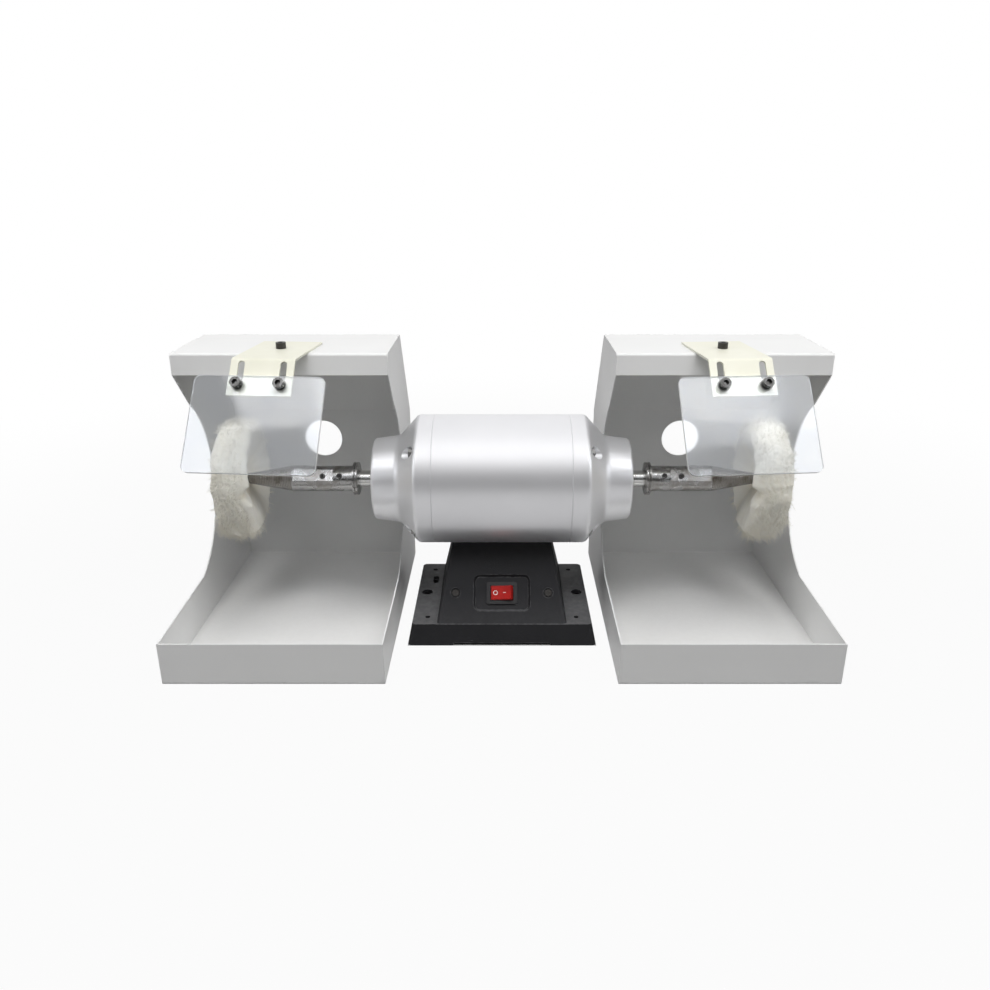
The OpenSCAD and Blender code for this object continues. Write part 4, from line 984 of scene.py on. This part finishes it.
# ---- floor, world and lamps ----
stageLook = {
    "white": (1, 1, 1, 1),
    "floorSize": 30.0,
    "floorColour": (0.3, 0.3, 0.3, 1),
    "floorRoughness": 0.9,
    "nearLift": 0.95,        # share of plain white that the camera sees on the floor near the object
    "nearRadius": 0.45,
    "farRadius": 1.3,        # from here on the floor is as white as the backdrop
    "baseHalfSize": (0.099, 0.08),  # under the base the floor is plain, as its bench holes show it
    "floorShine": 0.55,      # share of plain white that polished parts mirror from the floor
    "ambient": 0.02,         # strength of the world on the object
    "darkestSky": 0.04,      # the room in front of the object, as polished parts mirror it
    "skyRange": (-0.7, 0.25),  # from the darkest to the white part, by how far back and up it lies
}
lamps = {
    "overheadBox": {"place": (0.1, -0.80, 1.75), "aim": (0, -0.2, 0.2), "size": (1.8, 0.8), "power": 30},
    "leftSideBox": {"place": (-1.6, -0.3, 1.2), "aim": (0.1, 0, 0.2), "size": (0.9, 0.9), "power": 9},
    "rightSideBox": {"place": (1.6, -0.3, 1.2), "aim": (-0.1, 0, 0.2), "size": (0.9, 0.9), "power": 9},
    # these two stand where the clear shields mirror them, as a haze on their upper part
    "leftHazeBox": {"place": (-0.80, -0.90, 1.75), "aim": (-0.80, -0.90, 0), "size": (0.5, 0.36),
                    "power": 2.4, "mirrored": True},
    "rightHazeBox": {"place": (0.92, -0.88, 1.75), "aim": (0.92, -0.88, 0), "size": (0.75, 0.36),
                     "power": 2.3, "mirrored": True},
}


def mixShaders(tree, factor, first, second):
    mix = addNode(tree, "MixShader")
    for socket, output in zip(mix.inputs, (factor, first, second)):
        tree.links.new(output, socket)
    return mix.outputs[0]


def seenPlainly(tree, path):
    # 1 where the camera looks straight or through a clear sheet
    return addMath(tree, "MAXIMUM", path.outputs["Is Camera Ray"], path.outputs["Is Transmission Ray"])


def makeFloor():
    bpy.ops.mesh.primitive_plane_add(size=stageLook["floorSize"])
    floor = bpy.context.object
    floor.name = "studioFloor"
    material = bpy.data.materials.new("paleFloor")
    material.use_nodes = True
    tree = material.node_tree
    for label, value in (("Base Color", stageLook["floorColour"]), ("Roughness", stageLook["floorRoughness"]),
                         ("Specular IOR Level", 0.0)):
        feedShader(material, label, value)
    glow = addNode(tree, "Emission")
    glow.inputs["Color"].default_value = stageLook["white"]
    path = addNode(tree, "LightPath")
    place = addNode(tree, "TexCoord").outputs["Object"]
    away = addNode(tree, "VectorMath", operation="LENGTH")
    tree.links.new(place, away.inputs[0])
    split = addNode(tree, "SeparateXYZ")
    tree.links.new(place, split.inputs[0])
    beyond = [addMath(tree, "GREATER_THAN", addMath(tree, "ABSOLUTE", split.outputs[label]), half)
              for label, half in zip("XY", stageLook["baseHalfSize"])]
    outside = addMath(tree, "MAXIMUM", *beyond)
    lift = addRange(tree, away.outputs["Value"], (stageLook["nearRadius"], stageLook["farRadius"]),
                    (stageLook["nearLift"], 1.0), interpolation_type="SMOOTHSTEP")
    lifted = addMath(tree, "MULTIPLY", seenPlainly(tree, path), addMath(tree, "MULTIPLY", lift, outside))
    shine = addMath(tree, "MULTIPLY", path.outputs["Is Glossy Ray"], stageLook["floorShine"])
    share = addMath(tree, "MAXIMUM", lifted, shine)
    both = mixShaders(tree, share, shaderOf(material).outputs[0], glow.outputs[0])
    tree.links.new(both, tree.nodes["Material Output"].inputs["Surface"])
    floor.data.materials.append(material)


def makeWorld():
    world = bpy.data.worlds.new("studioWorld")
    bpy.context.scene.world = world
    world.use_nodes = True
    tree = world.node_tree
    tree.nodes.clear()
    path = addNode(tree, "LightPath")
    split = addNode(tree, "SeparateXYZ")
    tree.links.new(addNode(tree, "TexCoord").outputs["Generated"], split.inputs[0])
    # as polished parts mirror it, the room is dark in front and white overhead and behind
    sky = addRange(tree, addMath(tree, "ADD", split.outputs["Y"], split.outputs["Z"]), stageLook["skyRange"],
                   (stageLook["darkestSky"], 1.0), interpolation_type="SMOOTHSTEP")
    room, backdrop, dim = [addNode(tree, "Background") for use in range(3)]
    tree.links.new(sky, room.inputs["Color"])
    backdrop.inputs["Color"].default_value = stageLook["white"]
    dim.inputs["Color"].default_value = stageLook["white"]
    dim.inputs["Strength"].default_value = stageLook["ambient"]
    unseen = mixShaders(tree, path.outputs["Is Glossy Ray"], dim.outputs[0], room.outputs[0])
    both = mixShaders(tree, seenPlainly(tree, path), unseen, backdrop.outputs[0])
    tree.links.new(both, addNode(tree, "OutputWorld").inputs["Surface"])


def makeLamps():
    for name, lamp in lamps.items():
        bpy.ops.object.light_add(type="AREA", location=lamp["place"])
        light = bpy.context.object
        light.name = name
        light.data.shape = "RECTANGLE"
        light.data.size, light.data.size_y = lamp["size"]
        light.data.energy = lamp["power"]
        # a lamp lights the object or is mirrored in it
        light.visible_glossy = lamp.get("mirrored", False)
        light.visible_diffuse = not light.visible_glossy
        aim = Vector(lamp["aim"]) - Vector(lamp["place"])
        light.rotation_euler = aim.to_track_quat("-Z", "Y").to_euler()


makeFloor()
makeWorld()
makeLamps()
bpy.context.scene.view_settings.view_transform = "Standard"
print("stage made")
